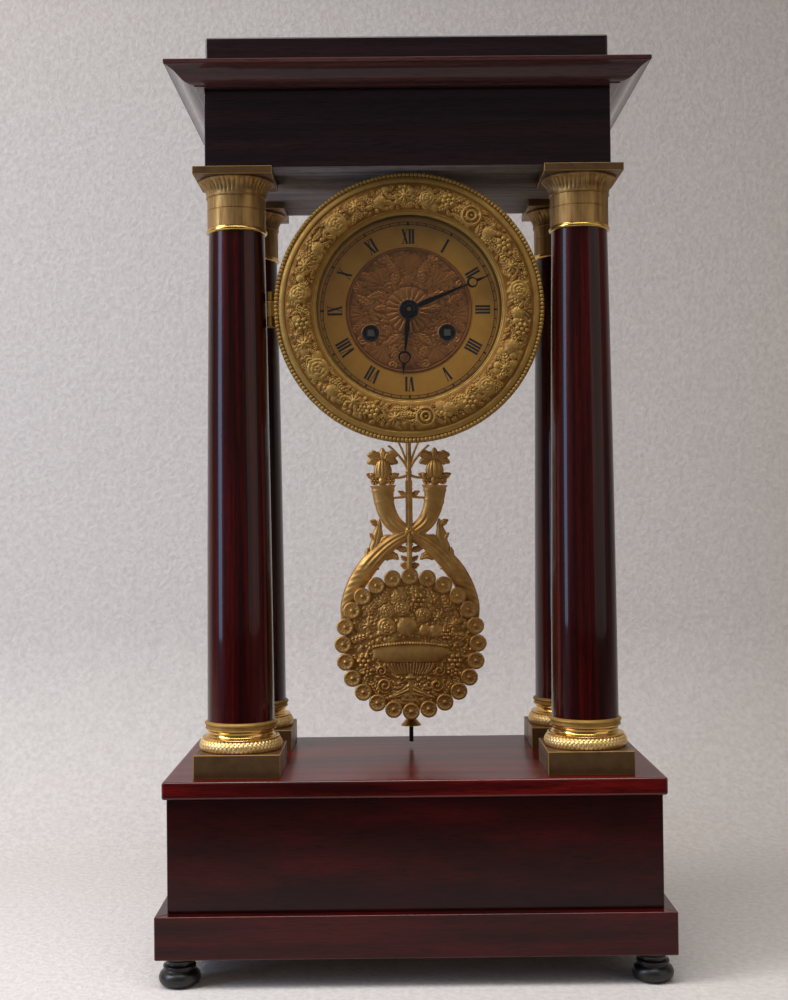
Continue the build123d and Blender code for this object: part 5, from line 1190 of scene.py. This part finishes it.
def leaf_blade(shape, root, angle, size, back, curl=0.0, rise=1.6, width=0.34):
    """Adds a lobed leaf from its root, at an angle in degrees, that bends as it goes."""
    steps, across = 26, 11
    along = np.linspace(0, 1, steps)
    bend = np.radians(angle + curl * along)
    step = size / (steps - 1)
    cx = root[0] + np.concatenate([[0], np.cumsum(np.cos(bend[:-1]) * step)])
    cz = root[1] + np.concatenate([[0], np.cumsum(np.sin(bend[:-1]) * step)])
    lobes = 0.8 + 0.2 * np.abs(np.cos(along * math.pi * 3.2))
    half = size * width * np.sin(math.pi * np.clip(along * 0.92 + 0.06, 0, 1)) ** 0.75 * lobes
    s = np.linspace(-1, 1, across)[None, :]
    x = cx[:, None] - np.sin(bend)[:, None] * half[:, None] * s
    z = cz[:, None] + np.cos(bend)[:, None] * half[:, None] * s
    ridge = (1 - np.abs(s) ** 1.6) * (1 - 0.35 * np.exp(-((s / 0.16) ** 2)))
    y = back - 0.6 - rise * ridge * np.clip(half[:, None] / (size * width * 0.5), 0.2, 1)
    y[:, 0] = y[:, -1] = back
    # The relief follows the ridge, so the leaf's low edges and middle vein get painted shade
    shape.grid(np.stack([x, y, z], -1), np.clip(0.35 + 0.75 * ridge * np.ones_like(x), 0, 1))


def wand(shape, course, radius, back):
    """Adds a round wire along (x, z) points, thinning to its end."""
    course = np.array(course, float)
    t, knots = np.linspace(0, 1, 24), np.linspace(0, 1, len(course))
    order = min(3, len(course) - 1)
    x, z = (np.polyval(np.polyfit(knots, course[:, k], order), t) for k in (0, 1))
    dx, dz = np.gradient(x), np.gradient(z)
    norm = np.hypot(dx, dz)
    turn = full_turn(10)[None, :]
    thick = radius * (1 - 0.35 * t)[:, None]
    side = thick * np.cos(turn)
    px, pz = x[:, None] - (dz / norm)[:, None] * side, z[:, None] + (dx / norm)[:, None] * side
    shape.grid(np.stack([px, back - 1.0 + thick * np.sin(turn), pz], -1), 0.75, around=True)


def ball(shape, x, z, radius, back, kind="fruit"):
    """Adds a half-round flower or fruit that stands on the plate."""
    u, v = rings(np.linspace(1, 0, 9), 28)
    height = MOTIFS[kind](u * 0.98, v * 0.98)
    points = np.stack([x + radius * u, back - 1.2 - 0.8 * radius * height, z + radius * v], -1)
    points[0, :, 1] = back
    # The relief follows the height, so the low rim gets painted shade
    shape.grid(points, np.clip(0.3 + 0.8 * height, 0, 1), around=True)


def ribbed_fruit(shape, x, z, wide, tall, back):
    """Adds a ribbed, egg-shaped fruit."""
    u, v = rings(np.linspace(1, 0, 12), 72)
    ribs = 0.8 + 0.2 * np.abs(np.cos(math.pi * 2.6 * u / np.sqrt(np.clip(1.02 - v * v, 0.02, 2))))
    height = dome(np.hypot(u, v)) * ribs
    points = np.stack([x + wide * u * (1 - 0.18 * v), back - 0.9 - 3.2 * height, z + tall * v], -1)
    points[0, :, 1] = back
    # The relief follows the height, so the low rim and the gaps between the ribs get painted shade
    shape.grid(points, np.clip(0.2 + 0.9 * height, 0, 1), around=True)


class CLOCK_OT_pendulum(ClockOperator, bpy.types.Operator):
    """Crossed horns of plenty over a bob with a basket of flowers"""

    bl_idname = "clock.pendulum"
    bl_label = "Pendulum"

    def make(self, scene):
        low, high = box("pendulum_bob")
        self.middle = np.array([0, 0, (low[2] + high[2]) / 2])
        horn_front, horn_back = (corner[1] for corner in box("pendulum_horns"))
        self.bob(scene.clock_pendulum, horn_front - 0.1, horn_back)
        self.horns(horn_back)

    def bob(self, look, back, horn_back):
        edge, columns, lift = 37.5, 600, millimetres(look, "relief")
        front, face = back - 3.5, back - 2.3
        radius = np.linspace(0.05, edge, 110)
        x, z = rings(radius, columns)
        rng = np.random.default_rng(look.seed)
        # The bowl keeps its room, and is then made by itself
        bowl = [("fruit", 0, -8, 20, 0, 0)]
        kinds = ("leaf", "leaf", "fruit", "daisy")
        motifs = scatter(rng, 2, 35.5, BOB_MOTIFS + bowl, 3200, (0.8, 2.4), kinds, 0.7, 0.58)
        motifs = [m for m in motifs if m[5] > 0]
        height = carve(x, z, motifs, 0.1 + 0.05 * rng.random(x.shape))
        height = np.maximum(height, basket(x, z))
        fade = np.clip((edge - radius) / 1.2, 0, 1)[:, None]
        bob = Shape()
        # The relief follows the height, so the ground between the flowers gets painted shade
        relief = np.clip(0.3 + height * 0.9, 0, 1)
        bob.grid(np.stack([x, face - lift * height * fade, z], -1) + self.middle, relief, around=True)
        bob.turned([(edge, face), (edge, back), (0.1, back)], columns, "Y", self.middle, 0.6)
        bob.join(self.rosettes(look, front, face, back))
        pad = block((-6, back - 0.5, self.middle[2] - 15), (6, horn_back, self.middle[2] + 15))
        bob.join(pad, 0.4)
        bob.build("pendulum_bob_relief", ["antique"], "pendulum", ["pendulum_bob"], 50)

    def rosettes(self, look, front, face, back):
        """The ring of rosettes, every second one a little further forward."""
        size, circle, petals = millimetres(look, "rosette_radius"), 38.4, slice(3, 7)
        section = [(r, front + d) for r, d, tone in ROSETTE] + [(size, front - 0.1)]
        section += [(size, face), (size - 0.6, back), (0, back)]
        tones = [tone for r, d, tone in ROSETTE] + [0.7, 0.5, 0.5, 0.5]
        flower, tone = spun(section, 60, "Y"), np.repeat(tones, 60).reshape(-1, 60)
        gaps = 1 - np.abs(np.sin(np.arange(60) * math.pi / 6))
        flower[petals, :, 1] += 0.2 * gaps
        # Painted shade in the gaps between the petals
        tone[petals] -= 0.2 * gaps
        rosette = Shape()
        rosette.grid(flower, tone, around=True)
        places = []
        for k in range(look.rosettes):
            x, z = polar(circle, 90 + 360 * k / look.rosettes)
            places.append(self.middle + (x, -0.1 - 0.15 * (k % 2), z))
        return rosette.copies(places)

    def horns(self, back):
        shape = Shape()
        self.tubes(shape, back)
        for side in (1, -1):
            self.mouth(shape, side, back)
        self.stems(shape, back)
        strip = block((-2.0, back - 2.2, 58), (2.0, back, 93))
        shape.join(strip, 0.7)
        shape.move(self.middle)
        shape.build("pendulum_horns_relief", ["antique"], "pendulum", ["pendulum_horns"], 50)

    def tubes(self, shape, back):
        """The two horns, ribbed over their mouths and twisted towards their tails."""
        knots, t = np.linspace(0, 1, len(HORN)), np.linspace(0, 1, 190)
        cx, cz, half = (smooth(knots, values, t) for values in np.array(HORN).T)
        for lip, size, spread in ((0.0, 0.8, 0.012), (0.035, 0.35, 0.008), (0.10, 0.3, 0.008)):
            half = half + size * np.exp(-(((t - lip) / spread) ** 2))
        dx, dz = np.gradient(cx), np.gradient(cz)
        norm = np.hypot(dx, dz)
        ahead, across = (dx / norm * half)[:, None], (dz / norm * half)[:, None]
        s, t, half = np.linspace(-1, 1, 25)[None, :], t[:, None], half[:, None]
        twist = np.clip((t - 0.62) / 0.1, 0, 1)
        flute = 0.5 + 0.5 * np.cos(2 * math.pi * (t * 26 + 1.3 * s))
        ribs = 0.12 * np.cos(s * math.pi * 4) * np.clip((t - 0.18) / 0.05, 0, 1) * (1 - twist)
        crown = dome(s) * (0.62 * half)
        # The tone is highest along each horn's crest and lower at its sides and in the twisted flutes:
        # painted shade
        value = np.clip(0.5 + 0.5 * crown / crown.max() - 0.25 * twist * (1 - flute) + ribs, 0.1, 1)
        for side in (1, -1):
            lift = 0.5 + crown * (0.85 + ribs - 0.1 * twist * (1 - flute))
            lift = lift + 0.5 * np.exp(-(((t - 0.44) / 0.06) ** 2)) * (side > 0)
            lift[:, 0] = lift[:, -1] = 0.0
            x, z = side * (cx[:, None] - across * s), cz[:, None] + ahead * s
            points = np.stack([x, back - lift, z], -1)
            shape.grid(points[:, ::side], value[:, ::side])

    def mouth(self, shape, side, back):
        """Fruit, grapes and leaves that spill from one horn, with the leaves along its outside."""
        x = HORN[0][0] * side
        ribbed_fruit(shape, x, 99.6, 5.2, 6.2, back)
        for dx, z, radius, kind in MOUTH_FRUIT:
            ball(shape, x + dx, z, radius, back, kind)
        for root, angle, size, curl in MOUTH_LEAVES:
            leaf_blade(shape, (x + root[0], root[1]), angle, size, back, curl)
        for root, angle, size, curl, width in HORN_LEAVES:
            turned = angle if side > 0 else 180 - angle
            leaf_blade(shape, (side * root[0], root[1]), turned, size, back, curl * side, 1.5, width)

    def stems(self, shape, back):
        """The middle stem with its cross-bars and the spray at its head."""
        wand(shape, [(0, 50), (0, 80), (0, 110), (0, 116)], 1.5, back)
        for side in (1, -1):
            for radius, course in SPRAY:
                wand(shape, [(side * x, z) for x, z in course], radius, back)
            leaf_blade(shape, (side * 0.9, 83.6), 90 - side * 48, 6.5, back, -side * 20, 1.2, 0.26)
            leaf_blade(shape, (side * 0.9, 52.5), 90 - side * 62, 7.5, back, -side * 30, 1.3, 0.28)
            leaf_blade(shape, (side * 0.5, 47.0), 90 - side * 70, 5.5, back, side * 30, 1.3, 0.3)
        wand(shape, [(0, 40.5), (0, 48), (0, 56), (0, 62)], 1.9, back - 1.6)
        for side in (1, -1):
            leaf_blade(shape, (0, 42.0), 90 - side * 38, 6.5, back - 1.4, -side * 55, 1.4, 0.34)
        ball(shape, 0, 98.0, 1.9, back)
        ball(shape, 0, 84.0, 1.7, back)
        ball(shape, 0, 63.5, 3.6, back, "rose")
        leaf_blade(shape, (0, 66.0), 90, 7.5, back, 0, 1.4, 0.3)
        leaf_blade(shape, (0, 60.5), -90, 7.5, back, 0, 1.4, 0.3)


# Finishes of the CAD pieces that keep their shape, where they aren't brass
MOVEMENT = {
    "steel": (
        "tie_rods", "saddle_screws", "bezel_hinge_pin", "going_winding_arbor", "strike_winding_arbor",
        "going_click", "strike_click", "hammer", "pallet_anchor", "cannon_pinion",
    ),
    "rod": ("going_mainspring", "strike_mainspring", "pendulum_rod"),
    "satin": ("rating_nut", "bezel_seat"),
    "bell": ("bell",),
    "silk": ("silk_suspension",),
    "raw": ("drum_saddle",),
    "glass": ("bezel_glass",),
}


class CLOCK_OT_movement(ClockOperator, bpy.types.Operator):
    """Finishes of the movement, the drum and the other metal that keeps its CAD shape"""

    bl_idname = "clock.movement"
    bl_label = "Movement"

    def make(self, scene):
        special = {name: key for key, names in MOVEMENT.items() for name in names}
        for name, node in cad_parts.items():
            if node.hide_render:
                continue
            node.data.materials.clear()
            node.data.materials.append(finish(special.get(name, "brass")))


# Lamps: name, place and aim in metres, size, power in watts, colour, spread in degrees
LAMPS = [
    ("key", (-1.05, -0.42, 1.1), (0, 0.05, 0.2), (0.7, 0.7), 11.0, "#fff3e4", 180),
    ("fill", (1.05, -0.75, 0.6), (0, 0, 0.25), (1.1, 1.1), 2.6, "#fff4e8", 180),
    ("window", (-0.62, -0.28, 0.42), (0, 0, 0.3), (0.16, 0.6), 2.0, "#b2d2ff", 180),
    ("top", (-0.1, -0.3, 1.15), (-0.05, -0.1, 0), (1.1, 0.4), 2.0, "#ffffff", 80),
]


class CLOCK_OT_stage(ClockOperator, bpy.types.Operator):
    """Pale backdrop, soft lamps and the camera"""

    bl_idname = "clock.stage"
    bl_label = "Stage"

    def make(self, scene):
        look = scene.clock_stage
        self.backdrop(scene, look)
        self.lamps(scene)
        data = bpy.data.cameras.new("camera")
        data.lens, data.sensor_width = look.lens, 36.0
        camera = bpy.data.objects.new("camera", data)
        scene.collection.objects.link(camera)
        across, tilt, turn, roll = -0.01107, math.radians(90.73), -0.0032, -0.0103
        place = Matrix.Translation((across, -look.camera_distance, look.camera_height))
        camera.matrix_world = place
        for angle, axis in ((turn, "Z"), (tilt, "X"), (roll, "Z")):
            camera.matrix_world = camera.matrix_world @ Matrix.Rotation(angle, 4, axis)
        scene.camera = camera
        scene.view_settings.view_transform = "Standard"

    def backdrop(self, scene, look):
        wall, bend = millimetres(look, "wall_distance"), 150.0
        near, tall, wide = -2400.0, 2200.0, 2600.0
        sweep = [(near, 0.0), (wall - bend, 0.0)] + arc((wall - bend, bend), bend, -90, 0, 20)
        sweep.append((wall, tall))
        cloth = Shape()
        cloth.grid(np.array([[(x, y, z) for x in (-wide, wide)] for y, z in sweep]))
        mesh = cloth.mesh("backdrop")
        mesh.materials.append(self.felt())
        piece = bpy.data.objects.new("backdrop", mesh)
        scene.collection.objects.link(piece)

    def felt(self):
        """Pale felt with a soft nap, dark on the floor in front of the clock so that it throws no glare
        up. The nap is drawn coarser than it is, so that it shows."""
        material, tree = new_material("pale_felt")
        place = add_node(tree, "ShaderNodeTexCoord").outputs["Object"]
        nap_size = 3.846
        tufts = {"Vector": place, "Scale": METRE / nap_size, "Detail": 4.0, "Roughness": 0.65}
        nap = add_node(tree, "ShaderNodeTexNoise", tufts).outputs["Fac"]
        tones = [(0.35, "#d2ccc8"), (0.65, "#e1dcd8")]
        pale = add_node(tree, "ShaderNodeValToRGB", {"Fac": nap}, tones)
        depth = add_node(tree, "ShaderNodeSeparateXYZ", {"Vector": place}).outputs["Y"]
        dark_from, dark_to = -200 * MM, -420 * MM
        limits = {"Value": depth, "From Min": dark_from, "From Max": dark_to}
        near = add_node(tree, "ShaderNodeMapRange", limits)
        dark = {"Factor": near.outputs["Result"], "A": pale.outputs["Color"], "B": srgb("#413d3c")}
        colour = add_node(tree, "ShaderNodeMix", dark, data_type="RGBA").outputs["Result"]
        bump = add_node(tree, "ShaderNodeBump", {"Strength": 0.5, "Distance": 2 * MM, "Height": nap})
        looks = {"Base Color": colour, "Normal": bump.outputs["Normal"], "Roughness": 0.95}
        shader = add_node(tree, "ShaderNodeBsdfPrincipled", {**looks, "Specular IOR Level": 0.1})
        # Seen from behind, the backdrop lets the clock show through
        behind = add_node(tree, "ShaderNodeNewGeometry").outputs["Backfacing"]
        clear = add_node(tree, "ShaderNodeBsdfTransparent").outputs["BSDF"]
        sides = {"Fac": behind, 1: shader.outputs["BSDF"], 2: clear}
        blend = add_node(tree, "ShaderNodeMixShader", sides).outputs["Shader"]
        add_node(tree, "ShaderNodeOutputMaterial", {"Surface": blend})
        return material

    def lamps(self, scene):
        scene.world = bpy.data.worlds.new("studio")
        scene.world.use_nodes = True
        sky = scene.world.node_tree.nodes["Background"].inputs
        sky["Color"].default_value, sky["Strength"].default_value = srgb("#b9b6b8"), 0.26
        for name, place, aim, size, power, tint, spread in LAMPS:
            data = bpy.data.lights.new(name, "AREA")
            data.shape, data.size, data.size_y = "RECTANGLE", size[0], size[1]
            data.energy, data.color, data.spread = power, srgb(tint)[:3], math.radians(spread)
            lamp = bpy.data.objects.new(name, data)
            lamp.location = place
            scene.collection.objects.link(lamp)
            lamp.rotation_euler = (Vector(aim) - lamp.location).to_track_quat("-Z", "Y").to_euler()


OPERATORS = (
    CLOCK_OT_feet,
    CLOCK_OT_base,
    CLOCK_OT_columns,
    CLOCK_OT_entablature,
    CLOCK_OT_bezel,
    CLOCK_OT_dial,
    CLOCK_OT_hands,
    CLOCK_OT_pendulum,
    CLOCK_OT_movement,
    CLOCK_OT_stage,
)
SETTINGS = {
    "clock_colours": ClockColourSettings,
    "clock_case": ClockCaseSettings,
    "clock_columns": ClockColumnSettings,
    "clock_bezel": ClockBezelSettings,
    "clock_dial": ClockDialSettings,
    "clock_pendulum": ClockPendulumSettings,
    "clock_stage": ClockStageSettings,
}


class CLOCK_PT_panel(bpy.types.Panel):
    """Settings and buttons for each group of pieces"""

    bl_idname = "CLOCK_PT_panel"
    bl_label = "Mantel clock"
    bl_space_type = "VIEW_3D"
    bl_region_type = "UI"
    bl_category = "Clock"

    def draw(self, context):
        for group in SETTINGS:
            settings = getattr(context.scene, group)
            for name in settings.__annotations__:
                self.layout.prop(settings, name)
        for operator in OPERATORS:
            self.layout.operator(operator.bl_idname)


def register():
    for group, settings in SETTINGS.items():
        bpy.utils.register_class(settings)
        setattr(bpy.types.Scene, group, bpy.props.PointerProperty(type=settings))
    for operator in OPERATORS:
        bpy.utils.register_class(operator)
    bpy.utils.register_class(CLOCK_PT_panel)


def unregister():
    bpy.utils.unregister_class(CLOCK_PT_panel)
    for operator in reversed(OPERATORS):
        bpy.utils.unregister_class(operator)
    for group, settings in SETTINGS.items():
        delattr(bpy.types.Scene, group)
        bpy.utils.unregister_class(settings)


def main():
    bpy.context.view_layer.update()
    register()
    for operator in OPERATORS:
        group, name = operator.bl_idname.split(".")
        getattr(getattr(bpy.ops, group), name)()


if __name__ == "__main__":
    main()
